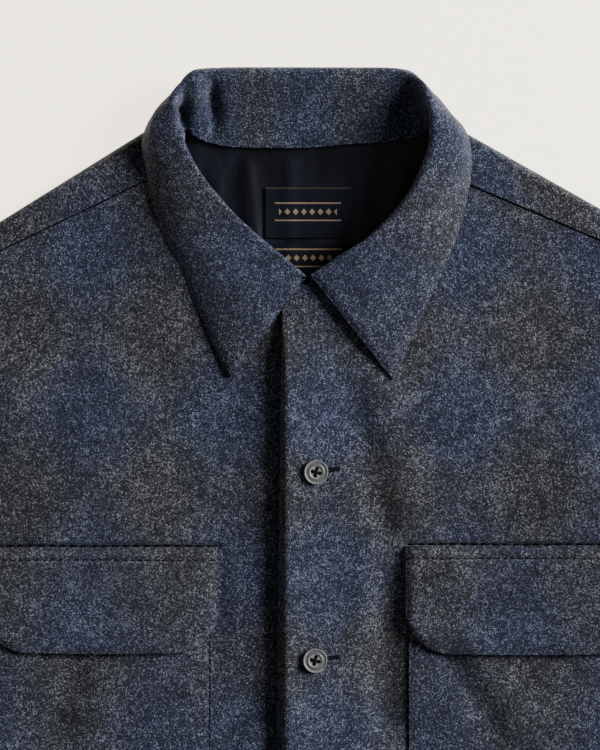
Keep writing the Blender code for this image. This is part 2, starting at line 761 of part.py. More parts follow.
def sleeve_sections(side):
    """Sleeve table of one side, turned a little about the shoulder."""
    shoulder = SHOULDER[side]
    under = UNDERARM[side]
    first_radius = shoulder_fold_radius(shoulder[0])
    side_radius = (FRONT_REST_Z - BACK_Z) / 2
    pull = armhole_bend(side)[1]
    rows = [[shoulder[0] + SEAM, shoulder[1], under[0] + UNDERARM_SEAM, under[1], pull, first_radius, side_radius, 0.0]]
    turn = math.radians(SLEEVE_TURN[side])
    for section in SLEEVE_SECTIONS:
        row = list(section)
        for start in (0, 2):
            x = section[start] + SLEEVE_SHIFT[side][0] - shoulder[0]
            y = section[start + 1] + SLEEVE_SHIFT[side][1] - shoulder[1]
            row[start] = shoulder[0] + x * math.cos(turn) - y * math.sin(turn)
            row[start + 1] = shoulder[1] + x * math.sin(turn) + y * math.cos(turn)
        rows.append(row)
    return rows


def sleeve_ring(side, section, number):
    """Ring of a sleeve at one section, number counted in table rows from the armhole."""
    sign = SIGN[side]
    top_x, top_y, low_x, low_y, bend, top_radius, low_radius, puff = section
    shift_x, shift_y = SLEEVE_SHIFT[side]

    def height(share):
        top = BACK_Z + 2 * mix(top_radius, low_radius, share)
        return top + puff * math.sin(math.pi * share) ** 0.7

    pull = (armhole_bend(side)[0], bend)
    ring = tube_ring((top_x, top_y), (low_x, low_y), pull, top_radius, low_radius, BACK_Z, height,
                     SLEEVE_TOP_POINTS)
    join = 1 - smooth(0, SLEEVE_JOIN_ROWS, number)
    first = len(SLEEVE_FOLD_ANGLES)
    for point in ring[first:first + SLEEVE_TOP_POINTS]:
        x, y, z = point
        body = front_z(sign * min(x, outer_x(side, y)), y)
        fold = fold_height(SLEEVE_FOLDS, x - shift_x, y - shift_y)
        point[2] = mix(z + fold, body, join)
    return [(sign * x, y, z) for x, y, z in ring]


def add_sleeve(side, collection):
    """Sleeve, a flattened tube open at both ends."""
    rows = along_rows(sleeve_sections(side), SLEEVE_STEPS)
    rings = [sleeve_ring(side, row, number / SLEEVE_STEPS) for number, row in enumerate(rows)]
    return add_sheet("sleeve_" + side, rings, WALL, collection, "wool", closed=True)


def cuff_frame(side):
    """Corner at the top fold, direction along the cuff, direction across it and its width."""
    last = sleeve_sections(side)[-1]
    top = Vector((last[0], last[1]))
    under = Vector((last[2], last[3]))
    across = (under - top).normalized()
    forward = Vector((-across.y, across.x))
    corner = top + across * CUFF_INSET + forward * SEAM
    return corner, forward, across, (under - top).length - 2 * CUFF_INSET


def cuff_height(share):
    """Middle of a cuff's upper cloth across its width."""
    return CUFF_WALL / 2 + 2 * CUFF_FOLD_RADIUS + CUFF_PUFF * math.sin(math.pi * share) ** 0.7


def add_cuff(side, collection):
    """Cuff, a band of double cloth that closes the sleeve."""
    corner, forward, across, width = cuff_frame(side)
    rings = []
    for row in range(CUFF_ROWS):
        top = corner + forward * CUFF_LENGTH * row / (CUFF_ROWS - 1)
        under = top + across * width
        ring = tube_ring(top, under, (0.5, 0.0), CUFF_FOLD_RADIUS, CUFF_FOLD_RADIUS, CUFF_WALL / 2, cuff_height,
                         CUFF_TOP_POINTS)
        rings.append([(SIGN[side] * x, y, z) for x, y, z in ring])
    return add_sheet("cuff_" + side, rings, CUFF_WALL, collection, "wool", closed=True)


# Buttons

def button_profile(scale):
    """Half section of a button from the middle of its top to the middle of its underside."""
    radius = BUTTON_RADIUS * scale
    height = BUTTON_HEIGHT * scale
    rim = BUTTON_RIM * scale
    dish = BUTTON_DISH * scale
    return [
        (0.0, height - dish),
        (radius - 2 * rim, height - dish),
        (radius - rim, height),
        (radius, height * 0.6),
        (radius - rim, 0.0),
        (0.0, 0.0),
    ]


def make_button_mesh(name, scale, cutters):
    """Turned button with four holes through it."""
    profile = bpy.data.meshes.new(name + "_profile")
    points = [(x * MM, 0.0, z * MM) for x, z in button_profile(scale)]
    profile.from_pydata(points, [(i, i + 1) for i in range(len(points) - 1)], [])
    turned = bpy.data.objects.new(name + "_turned", profile)
    cutters.objects.link(turned)
    screw = turned.modifiers.new("turn", "SCREW")
    screw.steps = BUTTON_SIDES
    screw.render_steps = BUTTON_SIDES
    screw.use_merge_vertices = True
    screw.merge_threshold = 0.00002
    drills = []
    for number in range(4):
        angle = math.radians(BUTTON_TURN + 45 + 90 * number)
        offset = BUTTON_HOLE_OFFSET * scale * MM
        drill_mesh = bpy.data.meshes.new(name + "_drill")
        work = bmesh.new()
        bmesh.ops.create_cone(
            work,
            cap_ends=True,
            segments=HOLE_SIDES,
            radius1=BUTTON_HOLE_RADIUS * scale * MM,
            radius2=BUTTON_HOLE_RADIUS * scale * MM,
            depth=4 * BUTTON_HEIGHT * scale * MM,
        )
        work.to_mesh(drill_mesh)
        work.free()
        drill = bpy.data.objects.new(name + "_drill_" + str(number + 1), drill_mesh)
        drill.location = (offset * math.cos(angle), offset * math.sin(angle), 0.0)
        drill.hide_render = True
        drill.display_type = "WIRE"
        cutters.objects.link(drill)
        drills.append(drill)
        cut = turned.modifiers.new("hole_" + str(number + 1), "BOOLEAN")
        cut.operation = "DIFFERENCE"
        cut.solver = "EXACT"
        cut.object = drill
    bpy.context.view_layer.update()
    mesh = bpy.data.meshes.new_from_object(turned.evaluated_get(bpy.context.evaluated_depsgraph_get()))
    mesh.name = name
    for thing in drills + [turned]:
        bpy.data.objects.remove(thing)
    mesh.shade_smooth()
    mesh.set_sharp_from_angle(angle=math.radians(35))
    return mesh


def front_seat(x, y):
    """Lowest level at which a front button clears the cloth."""
    reach = BUTTON_RADIUS
    spots = [(0, 0), (reach, 0), (-reach, 0), (0, reach), (0, -reach)]
    return max(top_front_z(x + dx, y + dy) for dx, dy in spots) + WALL / 2 + GAP


def add_buttons(collection, cutters):
    """Front buttons down the placket and one on each cuff."""
    front_mesh = make_button_mesh("front_button", 1.0, cutters)
    front_mesh.materials.append(finish("button"))
    for number in range(BUTTON_COUNT):
        x = BUTTON_X - 0.6 * (number % 2)
        y = BUTTON_TOP_Y - BUTTON_SPACING * number
        button = bpy.data.objects.new("button_" + str(number + 1), front_mesh)
        button.location = (x * MM, y * MM, front_seat(x, y) * MM)
        collection.objects.link(button)
    cuff_mesh = make_button_mesh("cuff_button", CUFF_BUTTON_SCALE, cutters)
    cuff_mesh.materials.append(finish("button"))
    for side in ("left", "right"):
        corner, forward, across, width = cuff_frame(side)
        spot = corner + forward * CUFF_LENGTH * CUFF_BUTTON_ALONG + across * width * CUFF_BUTTON_ACROSS
        seat = cuff_height(0.7) + CUFF_WALL / 2 + GAP
        button = bpy.data.objects.new("cuff_button_" + side, cuff_mesh)
        button.location = (SIGN[side] * spot.x * MM, spot.y * MM, seat * MM)
        collection.objects.link(button)


# Whole shirt

def centre_on_surface(collection):
    """Move the shirt so that the origin is the bottom centre of its box."""
    bpy.context.view_layer.update()
    graph = bpy.context.evaluated_depsgraph_get()
    corners = []
    for thing in collection.objects:
        ready = thing.evaluated_get(graph)
        mesh = ready.to_mesh()
        corners += [thing.matrix_world @ vertex.co for vertex in mesh.vertices]
        ready.to_mesh_clear()
    middle = []
    for axis in (0, 1):
        values = [corner[axis] for corner in corners]
        middle.append((min(values) + max(values)) / 2)
    lowest = min(corner.z for corner in corners)
    for thing in collection.objects:
        thing.location -= Vector((middle[0], middle[1], lowest))
    print("bottom centre of the shirt in table coordinates, mm:", middle[0] / MM, middle[1] / MM)


def main():
    """Build the shirt."""
    for thing in list(bpy.data.objects):
        bpy.data.objects.remove(thing, do_unlink=True)
    shirt = bpy.data.collections.new("wool_button_up_shirt")
    cutters = bpy.data.collections.new("cutters")
    bpy.context.scene.collection.children.link(shirt)
    bpy.context.scene.collection.children.link(cutters)
    add_back(shirt)
    add_yoke(shirt)
    add_lining(shirt)
    for name in LABELS:
        add_label(name, shirt)
    for side in ("right", "left"):
        add_front(side, shirt)
        add_pocket(side, shirt)
        add_flap(side, shirt)
        add_sleeve(side, shirt)
        add_cuff(side, shirt)
    add_collar(shirt)
    add_buttons(shirt, cutters)
    centre_on_surface(shirt)


main()
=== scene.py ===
"""Looks of the wool button-up shirt, laid out flat on its back with the collar closed.

Tables and sizes are in millimetres, in the same coordinates as the part's source: X runs
across the shirt towards the wearer's left, Y from the hem to the collar and Z up. They start
at the middle of the back neck seam and become metres, in the part's frame, where a mesh is made.
"""

import math

import bmesh
import bpy
import numpy as np
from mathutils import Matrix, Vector


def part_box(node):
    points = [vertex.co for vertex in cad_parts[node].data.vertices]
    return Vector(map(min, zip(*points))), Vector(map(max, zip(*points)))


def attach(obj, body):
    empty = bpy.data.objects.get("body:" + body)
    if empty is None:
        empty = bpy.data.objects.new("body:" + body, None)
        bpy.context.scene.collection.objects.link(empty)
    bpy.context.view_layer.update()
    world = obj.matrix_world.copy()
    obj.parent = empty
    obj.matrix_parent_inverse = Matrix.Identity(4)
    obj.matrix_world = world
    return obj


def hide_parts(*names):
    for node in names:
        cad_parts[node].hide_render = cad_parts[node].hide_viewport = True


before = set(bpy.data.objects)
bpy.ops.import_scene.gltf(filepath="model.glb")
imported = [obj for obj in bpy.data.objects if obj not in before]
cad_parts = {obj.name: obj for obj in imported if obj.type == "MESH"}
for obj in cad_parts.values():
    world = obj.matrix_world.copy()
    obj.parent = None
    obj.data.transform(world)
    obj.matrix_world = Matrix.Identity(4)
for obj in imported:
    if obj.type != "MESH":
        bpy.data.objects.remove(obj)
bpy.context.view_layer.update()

MM = 0.001

# Cloth and clearances
WALL = 1.2
GAP = 0.3
LAYER = WALL + GAP
LINING_WALL = 1.0
LABEL_WALL = 1.0
FLAP_WALL = 1.8
COLLAR_WALL = 2.4
CUFF_WALL = 2.0
SEAM = 0.5
UNDERARM_SEAM = 0.9

# Levels of the middle of each cloth
BACK_Z = WALL / 2
LINING_Z = WALL + GAP + LINING_WALL / 2
LABEL_STAND = LINING_WALL / 2 + GAP + LABEL_WALL / 2
FRONT_REST_Z = BACK_Z + LAYER

# Body outline, X is positive on both sides
SIGN = {"left": 1, "right": -1}
NECK_X = 74.0
SHOULDER_NECK_Y = {"left": 16.4, "right": 20.2}
SHOULDER = {"left": (233.0, -73.0), "right": (232.0, -78.0)}
ARMHOLE_BEND = {"left": (236.0, -235.0), "right": (235.0, -241.0)}
UNDERARM = {"left": (288.0, -312.0), "right": (287.0, -316.0)}
WAIST_Y = -520.0
WAIST_X = 284.0
HEM_Y = -757.0
HEM_X = 292.0
BACK_YOKE_Y = -100.0
YOKE_SEAM_NECK_Y = {"left": -15.0, "right": -11.0}
YOKE_SEAM_ARM_Y = {"left": -82.5, "right": -87.0}
FRONT_NECK_Y = -80.6
NECK_ROUNDNESS = 1.2
FREE_EDGE_X = {"left": -14.5, "right": -24.6}
FREE_EDGE_LEAN = {"left": -0.0125, "right": 0.0}

# Back neck seam: x, y
BACK_NECK = [
    (-74.0, 15.0),
    (-71.5, 13.5),
    (-67.5, 10.0),
    (-59.3, 4.2),
    (-36.7, 0.2),
    (-15.0, -0.1),
    (8.0, 0.7),
    (29.9, 2.5),
    (49.9, 3.8),
    (60.0, 5.6),
    (67.5, 10.4),
    (71.5, 13.5),
    (74.0, 15.0),
]

# Height of the fronts above their rest level
BODY_LOFT = 3.2
NECK_RISE = 3.0
NECK_RISE_NEAR = 80.0
NECK_RISE_FAR = 170.0
SHOULDER_FADE = 95.0
FOLD_TOP_NECK = 9.2
FOLD_TOP_ARM = 5.4
LAP_LIFT = 2.0
LAP_FULL_X = 27.0
LAP_END_X = 54.0
ROLL_LIFT = 7.0
ROLL_EDGE_X = -17.5
ROLL_CREST_X = -12.0
ROLL_END_X = 22.0

# Folds of the fronts: from x, y to x, y, half width, height
FRONT_FOLDS = [
    (24.0, -138.0, 46.0, -236.0, 9.0, -2.6),
    (40.0, -120.0, 64.0, -232.0, 12.0, 2.2),
    (46.0, -236.0, 45.0, -345.0, 9.0, -3.0),
    (30.0, -300.0, 50.0, -338.0, 6.0, -1.1),
    (-52.5, -226.0, -52.5, -302.0, 6.5, -2.0),
    (172.0, -140.0, 168.0, -420.0, 44.0, 4.2),
    (-112.0, -112.0, -106.0, -232.0, 38.0, 3.4),
    (-84.0, -20.0, -66.0, -92.0, 20.0, 2.4),
    (-60.0, -150.0, -70.0, -205.0, 17.0, -0.9),
    (262.0, -330.0, 219.0, -412.0, 15.0, 2.2),
    (262.0, -390.0, 172.0, -505.0, 16.0, 2.0),
    (-258.0, -332.0, -216.0, -418.0, 16.0, 2.3),
    (-262.0, -398.0, -160.0, -520.0, 17.0, 2.1),
    (96.0, -455.0, 122.0, -690.0, 22.0, 2.6),
    (44.0, -440.0, 52.0, -640.0, 16.0, -1.8),
    (205.0, -530.0, 190.0, -720.0, 19.0, 2.0),
    (-92.0, -460.0, -84.0, -705.0, 21.0, 2.4),
    (-44.0, -420.0, -52.0, -600.0, 14.0, -1.6),
    (-188.0, -545.0, -200.0, -715.0, 19.0, 2.2),
    (-140.0, -520.0, -148.0, -650.0, 16.0, -1.3),
    (224.0, -150.0, 212.0, -262.0, 13.0, 1.3),
    (-222.0, -160.0, -212.0, -270.0, 13.0, 1.4),
]

# Smaller creases that the hand leaves in the cloth, in the same columns
FRONT_CREASES = [
    (80.0, -120.0, 66.0, -176.0, 10.0, 0.9),
    (148.0, -92.0, 134.0, -150.0, 13.0, -1.0),
    (176.0, -120.0, 160.0, -186.0, 12.0, 1.1),
    (112.0, -150.0, 128.0, -212.0, 12.0, -0.9),
    (-84.0, -96.0, -72.0, -148.0, 10.0, 0.9),
    (-150.0, -100.0, -132.0, -162.0, 13.0, -1.0),
    (-182.0, -128.0, -168.0, -190.0, 12.0, 1.0),
    (-88.0, -160.0, -104.0, -214.0, 13.0, -1.0),
    (-146.0, -170.0, -156.0, -220.0, 10.0, 0.8),
    (78.0, -290.0, 112.0, -350.0, 8.0, -2.0),
    (94.0, -282.0, 130.0, -345.0, 10.0, 1.6),
    (-132.0, -292.0, -150.0, -350.0, 8.0, -1.8),
    (-114.0, -292.0, -130.0, -350.0, 10.0, 1.5),
    (-30.0, -150.0, -34.0, -215.0, 7.0, 0.8),
    (9.0, -181.0, 19.0, -173.0, 5.0, -1.3),
    (9.0, -291.0, 18.0, -284.0, 5.0, -1.2),
    (30.0, -350.0, 38.0, -420.0, 8.0, -0.9),
    (-32.0, -330.0, -38.0, -410.0, 8.0, 0.9),
    (150.0, -420.0, 138.0, -500.0, 12.0, -1.1),
    (238.0, -440.0, 214.0, -520.0, 10.0, -1.2),
    (-150.0, -430.0, -134.0, -505.0, 12.0, -1.1),
    (-236.0, -450.0, -208.0, -530.0, 10.0, -1.2),
    (66.0, -560.0, 74.0, -700.0, 9.0, 1.0),
    (158.0, -590.0, 164.0, -720.0, 11.0, -1.1),
    (-66.0, -570.0, -72.0, -690.0, 9.0, 1.0),
    (-118.0, -600.0, -116.0, -720.0, 11.0, -1.0),
    (246.0, -600.0, 250.0, -700.0, 10.0, 1.0),
    (-250.0, -610.0, -244.0, -705.0, 10.0, 1.0),
    (204.0, -300.0, 236.0, -330.0, 8.0, 1.0),
    (-206.0, -306.0, -236.0, -338.0, 8.0, 1.0),
]

# Yoke and lining
LINING_REACH_X = 188.0
LINING_INSET = 9.0
LINING_END_Y = -97.0

# Soft folds of the lining inside the neck: from x, y to x, y, half width, height
LINING_FOLDS = [
    (-36.0, -6.0, -30.0, -70.0, 5.0, 1.5),
    (-12.0, -4.0, -10.0, -80.0, 4.5, 0.6),
    (30.0, -6.0, 34.0, -60.0, 6.0, 0.7),
    (52.0, -4.0, 48.0, -50.0, 7.0, 0.8),
    (-56.0, -2.0, -50.0, -40.0, 5.0, 0.7),
]

# Labels: middle x, middle y, width, height
LABELS = {
    "neck_label_upper": (0.0, -39.2, 49.8, 29.5),
    "neck_label_lower": (0.6, -66.0, 47.6, 18.2),
}

# Pockets and flaps, X is positive on both sides
POCKET_X = {"left": (58.6, 189.5), "right": (57.5, 189.0)}
POCKET_Y = (-244.0, -398.0)
POCKET_CORNER = 14.0
POCKET_STAND = LAYER + 0.3
FLAP_X = {"left": (56.8, 199.0), "right": (52.4, 188.0)}
FLAP_Y = {"left": (-232.4, -294.0), "right": (-233.4, -293.5)}
FLAP_CORNER = 25.0
FLAP_BOW = 1.5
FLAP_STAND_TOP = 1.9
FLAP_STAND = 4.0
FLAP_LIFT = 1.8
FLAP_SETTLE_Y = 8.0
EDGE_ROLL = 4.5
FLAP_DROP = 1.3
SEAM_DIP = 2.0
SEAM_DIP_WIDTH = 1.8
STITCH_LINE = 7.4
STITCH_DIP = 1.1
STITCH_DIP_WIDTH = 1.4
POCKET_DROP = 0.5
COLLAR_DROP = 1.2

# Collar sections from the back to the front end. The roll is the line where it turns over.
# base x y z, roll x y z, angle of the turn, outer edge x y z
COLLAR_TURN = 6.5
COLLAR_BACK = (0.0, -1.2, 4.1, 0.0, 41.2, 16.0, -88, 0.0, 7.0, 1.2)
COLLAR_RIGHT = [
    (-24.0, -1.4, 4.1, -25.0, 41.2, 16.2, -88, -27.0, 7.0, 1.2),
    (-48.0, -0.4, 4.2, -50.0, 41.0, 17.4, -86, -52.0, 9.5, 1.2),
    (-62.0, 3.4, 5.2, -64.5, 39.6, 20.0, -74, -67.0, 26.0, 1.6),
    (-69.6, 8.2, 7.0, -73.0, 34.0, 21.0, -50, -78.0, 28.0, 3.2),
    (-72.0, 5.0, 8.6, -77.4, 25.0, 22.0, -24, -86.5, 20.5, 8.0),
    (-72.2, -4.0, 9.4, -76.0, 12.0, 22.5, -6, -92.6, 10.5, 11.4),
    (-69.3, -16.0, 9.4, -71.2, -1.2, 22.0, 0, -95.0, -1.0, 11.3),
    (-60.8, -27.5, 9.4, -64.6, -14.6, 21.0, 0, -93.6, -17.0, 11.0),
    (-50.2, -39.0, 9.5, -55.6, -26.8, 20.0, 0, -90.0, -33.0, 10.7),
    (-38.6, -50.5, 9.6, -44.2, -39.8, 18.8, 0, -83.8, -50.5, 10.4),
    (-26.2, -61.2, 9.8, -31.0, -52.4, 17.6, 0, -75.0, -70.0, 10.0),
    (-14.6, -69.8, 10.2, -17.6, -63.6, 16.6, -2, -63.6, -95.4, 9.5),
    (-5.8, -75.4, 10.8, -7.2, -72.4, 15.6, -6, -54.4, -116.6, 9.2),
    (-1.8, -78.0, 11.2, -1.9, -77.2, 15.2, -10, -44.6, -134.4, 9.6),
]
COLLAR_LEFT = [
    (24.0, 0.8, 4.1, 24.0, 41.2, 16.2, -88, 26.0, 8.0, 1.2),
    (46.0, 2.2, 4.2, 47.0, 41.0, 17.4, -86, 49.0, 11.0, 1.2),
    (62.0, 4.6, 5.2, 58.0, 39.4, 20.0, -76, 62.0, 27.0, 1.6),
    (69.6, 9.0, 7.0, 66.0, 34.0, 22.5, -52, 73.0, 28.0, 3.0),
    (72.0, 6.0, 8.6, 70.0, 24.5, 25.0, -24, 83.0, 17.0, 7.6),
    (72.2, -5.0, 9.4, 71.6, 12.0, 26.5, -6, 90.6, 7.6, 11.6),
    (70.0, -16.0, 9.4, 71.0, 0.0, 26.5, 0, 93.6, -4.6, 11.4),
    (63.4, -27.5, 9.4, 67.0, -11.6, 25.8, 0, 93.2, -18.4, 11.2),
    (52.8, -39.0, 9.5, 60.0, -27.0, 24.2, 0, 91.0, -35.5, 11.0),
    (40.6, -50.5, 9.8, 47.6, -42.8, 22.0, 0, 85.8, -52.5, 10.7),
    (27.4, -61.2, 10.4, 33.4, -56.0, 19.8, 0, 78.0, -71.0, 10.4),
    (15.6, -69.4, 11.2, 19.6, -64.8, 18.0, -2, 69.6, -90.6, 10.0),
    (6.6, -75.0, 11.8, 9.2, -71.8, 16.8, -6, 59.6, -112.4, 10.0),
    (2.0, -77.4, 12.2, 2.2, -76.0, 16.2, -10, 49.4, -136.0, 10.2),
]

# Soft dents of the collar: along the roll from the back, across it from the roll towards the
# edge, half width along, half width across, height
COLLAR_DENTS = [
    (-56.0, -20.0, 4.5, 16.0, -5.0),
    (-67.0, -8.0, 6.0, 8.0, 2.6),
    (-76.0, -19.0, 5.5, 8.5, -7.5),
    (59.0, -18.0, 6.0, 15.0, -2.4),
    (72.0, -14.0, 6.0, 13.0, 1.6),
    (-112.0, 24.0, 9.0, 12.0, 0.9),
    (-128.0, 26.0, 13.0, 14.0, -1.3),
    (134.0, 24.0, 12.0, 14.0, -1.3),
    (116.0, 22.0, 10.0, 14.0, 1.0),
    (-168.0, 30.0, 9.0, 16.0, 1.2),
    (166.0, 36.0, 10.0, 16.0, 1.2),
]
COLLAR_FLOOR = 4.1
COLLAR_STEPS = 12
PROFILE_STEPS = (6, 6, 6, 8, 10)
STAND_BELLY = 0.05
FALL_BELLY = 2.0

# Sleeve sections, X is positive on both sides: the fold at the top of the sleeve x y, the
# fold under the arm x y, inward pull of the section, radius of the top fold, of the lower fold, puff
SLEEVE_SECTIONS = [
    (293.0, -103.0, 301.0, -325.0, 24.0, 2.5, 1.4, 1.4),
    (352.0, -138.0, 320.0, -341.5, 17.0, 2.4, 1.9, 1.8),
    (403.0, -172.0, 348.0, -362.0, 11.0, 2.3, 2.1, 1.6),
    (457.0, -214.0, 381.0, -384.0, 7.0, 2.3, 2.2, 1.4),
    (505.0, -262.0, 409.0, -405.0, 4.0, 2.3, 2.3, 1.5),
    (555.0, -325.0, 444.0, -440.0, 2.0, 2.2, 2.2, 1.4),
    (601.0, -388.0, 488.0, -486.0, 0.0, 2.2, 2.1, 1.1),
    (644.0, -447.0, 548.5, -532.0, 0.0, 2.2, 2.1, 0.8),
]
SLEEVE_SHIFT = {"left": (0.0, 0.0), "right": (3.0, -7.0)}
SLEEVE_TURN = {"left": 0.0, "right": -1.0}
SLEEVE_STEPS = 15
SLEEVE_JOIN_ROWS = 1.6
SLEEVE_TOP_POINTS = 64
SLEEVE_LOW_POINTS = 24
FOLD_ANGLES = np.linspace(-90, 90, 9)

# Folds of the sleeves: from x, y to x, y, half width, height
SLEEVE_FOLDS = [
    (308.0, -300.0, 356.0, -190.0, 15.0, 2.4),
    (338.0, -325.0, 420.0, -240.0, 14.0, 2.0),
    (420.0, -395.0, 505.0, -315.0, 14.0, 2.8),
    (385.0, -372.0, 452.0, -272.0, 12.0, 1.9),
    (462.0, -432.0, 552.0, -378.0, 13.0, 2.0),
    (600.0, -478.0, 556.0, -430.0, 12.0, 1.5),
    (360.0, -180.0, 384.0, -220.0, 9.0, -0.7),
    (470.0, -300.0, 500.0, -280.0, 8.0, -0.8),
    (520.0, -330.0, 496.0, -372.0, 8.0, 0.9),
    (585.0, -415.0, 612.0, -462.0, 7.0, -0.7),
]

# Cuffs
CUFF_LENGTH = 65.0
CUFF_INSET = 3.0
CUFF_FOLD_RADIUS = 2.5
CUFF_PUFF = 0.5

# Buttons
BUTTON_X = 4.6
BUTTON_TOP_Y = -189.7
BUTTON_SPACING = 109.1
BUTTON_COUNT = 5
BUTTON_RADIUS = 6.7
BUTTON_HEIGHT = 2.6
BUTTON_HOLE_RADIUS = 1.1
BUTTON_HOLE_OFFSET = 2.0
BUTTON_TURN = 30.0

# Shadow check: size of one repeat, and where its blue squares lie on each piece
CHECK = (81.0, 94.0)
BLUE_AT = {
    "left": (10.5, -61.5),
    "right": (-45.8, -61.5),
    "yoke": (105.0, -61.5),
    "collar": (0.0, -22.0),
}
PATCH_STRETCH = (0.74, 0.4)
FLAP_BLUE_AT = {"left": (123.0, -320.0), "right": (-129.0, -320.0)}
POCKET_BLUE_AT = {"left": (71.0, -384.0), "right": (-83.0, -384.0)}

# Where the collar's check comes and goes: along the roll, place in the check
COLLAR_CHECK_ALONG = [0.0, 29.0, 57.0, 100.0, 147.0, 188.0, 215.0]
COLLAR_CHECK_PLACE = [0.0, 40.0, 81.0, 96.0, 121.5, 162.0, 174.0]
COLLAR_CHECK_ACROSS = 0.4

# View of the photograph, straight down
VIEW_MIDDLE = (-4.6, -133.4)
VIEW_HEIGHT = 435.0
CAMERA_DISTANCE = 3000.0
CAMERA_LEVEL = 8.0

# Light from the right and a little from above in the picture, in metres and watts
KEY_DIRECTION = (0.86, 0.28, 0.42)
KEY_DISTANCE = 5.0
KEY_SIZE = 2.2
KEY_POWER = 640.0
WORLD_STRENGTH = 0.17
GROUND_COLOUR = (0.80, 0.765, 0.70, 1)
GROUND_GLOW = (1.0, 0.89, 0.70, 1)
GROUND_GLOW_STRENGTH = 3.0


# Plain helpers, all of them work on arrays

def mix(a, b, share):
    """Value a share of the way from a to b."""
    return a + (b - a) * share


def smooth(start, end, value):
    """Smooth step from 0 at start to 1 at end."""
    share = np.clip((value - start) / (end - start), 0.0, 1.0)
    return share * share * (3 - 2 * share)


def spline(points, share, span):
    """Point on the smooth curve between points[span] and points[span + 1]."""
    last = len(points) - 1
    a, b, c, d = (np.array(points[min(max(span + step, 0), last)], float) for step in (-1, 0, 1, 2))
    cubic = -a + 3 * b - 3 * c + d
    square = 2 * a - 5 * b + 4 * c - d
    return 0.5 * (2 * b + (c - a) * share + square * share ** 2 + cubic * share ** 3)


def along_rows(rows, steps):
    """Table rows with smooth ones set between them, steps spans for each pair."""
    result = [np.array(rows[0], float)]
    for span in range(len(rows) - 1):
        for step in range(1, steps + 1):
            result.append(spline(rows, step / steps, span))
    return result


def by_side(x, function, *values):
    """Function's value for the left side where x is positive, and for the right side elsewhere."""
    return np.where(x > 0, function("left", *values), function("right", *values))


# Body outline

def shoulder_y(side, x):
    """Height of the shoulder fold at x."""
    arm_x, arm_y = SHOULDER[side]
    return mix(SHOULDER_NECK_Y[side], arm_y, (x - NECK_X) / (arm_x - NECK_X))


def armhole_x(side, y):
    """Armhole's x at a height y."""
    top, bend, low = SHOULDER[side], ARMHOLE_BEND[side], UNDERARM[side]
    square = top[1] - 2 * bend[1] + low[1]
    slope = 2 * (bend[1] - top[1])
    inner = np.maximum(0.0, slope ** 2 - 4 * square * (top[1] - y))
    share = np.clip((-slope - np.sqrt(inner)) / (2 * square), 0.0, 1.0)
    return (1 - share) ** 2 * top[0] + 2 * share * (1 - share) * bend[0] + share ** 2 * low[0]


def outer_x(side, y):
    """Outer edge of the front and the back at y: armhole, then side seam."""
    arm_x, arm_y = UNDERARM[side]
    upper_seam = mix(WAIST_X, arm_x, smooth(WAIST_Y, arm_y, y))
    lower_seam = mix(HEM_X, WAIST_X, smooth(HEM_Y, WAIST_Y, y))
    return np.where(y > arm_y, armhole_x(side, y), np.where(y > WAIST_Y, upper_seam, lower_seam))


def yoke_seam_x(side, y):
    """Front yoke seam's x at y."""
    top = YOKE_SEAM_NECK_Y[side]
    low = YOKE_SEAM_ARM_Y[side]
    return mix(NECK_X, armhole_x(side, low), (y - top) / (low - top))


def yoke_seam_y(side, x):
    """Front yoke seam's y at x."""
    low = YOKE_SEAM_ARM_Y[side]
    share = (x - NECK_X) / (armhole_x(side, low) - NECK_X)
    return mix(YOKE_SEAM_NECK_Y[side], low, share)


def neckline_x(side, y):
    """Front neckline's x at y."""
    top = YOKE_SEAM_NECK_Y[side]
    share = np.clip((top - y) / (top - FRONT_NECK_Y), 0.0, 1.0)
    return NECK_X * (1 - share ** NECK_ROUNDNESS) ** (1 / NECK_ROUNDNESS)


def free_edge_x(side, y):
    """Free front edge's x at y, past the centre line."""
    return FREE_EDGE_X[side] + FREE_EDGE_LEAN[side] * (FRONT_NECK_Y - y)


# Height of the fronts

def fold_height(table, x, y):
    """Sum of the soft folds at x, y."""
    total = np.zeros(np.broadcast(x, y).shape)
    for x0, y0, x1, y1, half_width, height in table:
        run = math.hypot(x1 - x0, y1 - y0)
        along = ((x - x0) * (x1 - x0) + (y - y0) * (y1 - y0)) / run
        across = ((y - y0) * (x1 - x0) - (x - x0) * (y1 - y0)) / run
        ends = smooth(-half_width, 2 * half_width, along) * smooth(-half_width, 2 * half_width, run - along)
        total += height * ends * np.exp(-((across / half_width) ** 2))
    return total


def shoulder_top(x):
    """Height of the shoulder fold's upper side at x."""
    share = np.clip((np.abs(x) - NECK_X) / (SHOULDER["left"][0] - NECK_X), 0.0, 1.0)
    return mix(FOLD_TOP_NECK, FOLD_TOP_ARM, share)


def front_z(x, y):
    """Middle of the front cloth, and of the yoke's front strip, at x, y."""
    x, y = np.asarray(x, float), np.asarray(y, float)
    width = np.abs(x)
    arm_y = np.where(x > 0, UNDERARM["left"][1], UNDERARM["right"][1])
    inside = smooth(0, 62, by_side(x, outer_x, y) - width)
    at_seam = 1 - smooth(arm_y, arm_y + 70, y)
    quiet = mix(1.0, inside, at_seam)
    loft = BODY_LOFT * quiet * smooth(HEM_Y, HEM_Y + 70, y)
    neck = NECK_RISE * (1 - smooth(NECK_RISE_NEAR, NECK_RISE_FAR, np.hypot(x, y + 10)))
    folds = (fold_height(FRONT_FOLDS, x, y) + fold_height(FRONT_CREASES, x, y)) * quiet
    low = FRONT_REST_Z + np.maximum(0.0, loft + neck + folds * smooth(HEM_Y, HEM_Y + 30, y))
    drop = by_side(x, shoulder_y, width) - y
    return mix(shoulder_top(x), low, smooth(0, SHOULDER_FADE, drop))


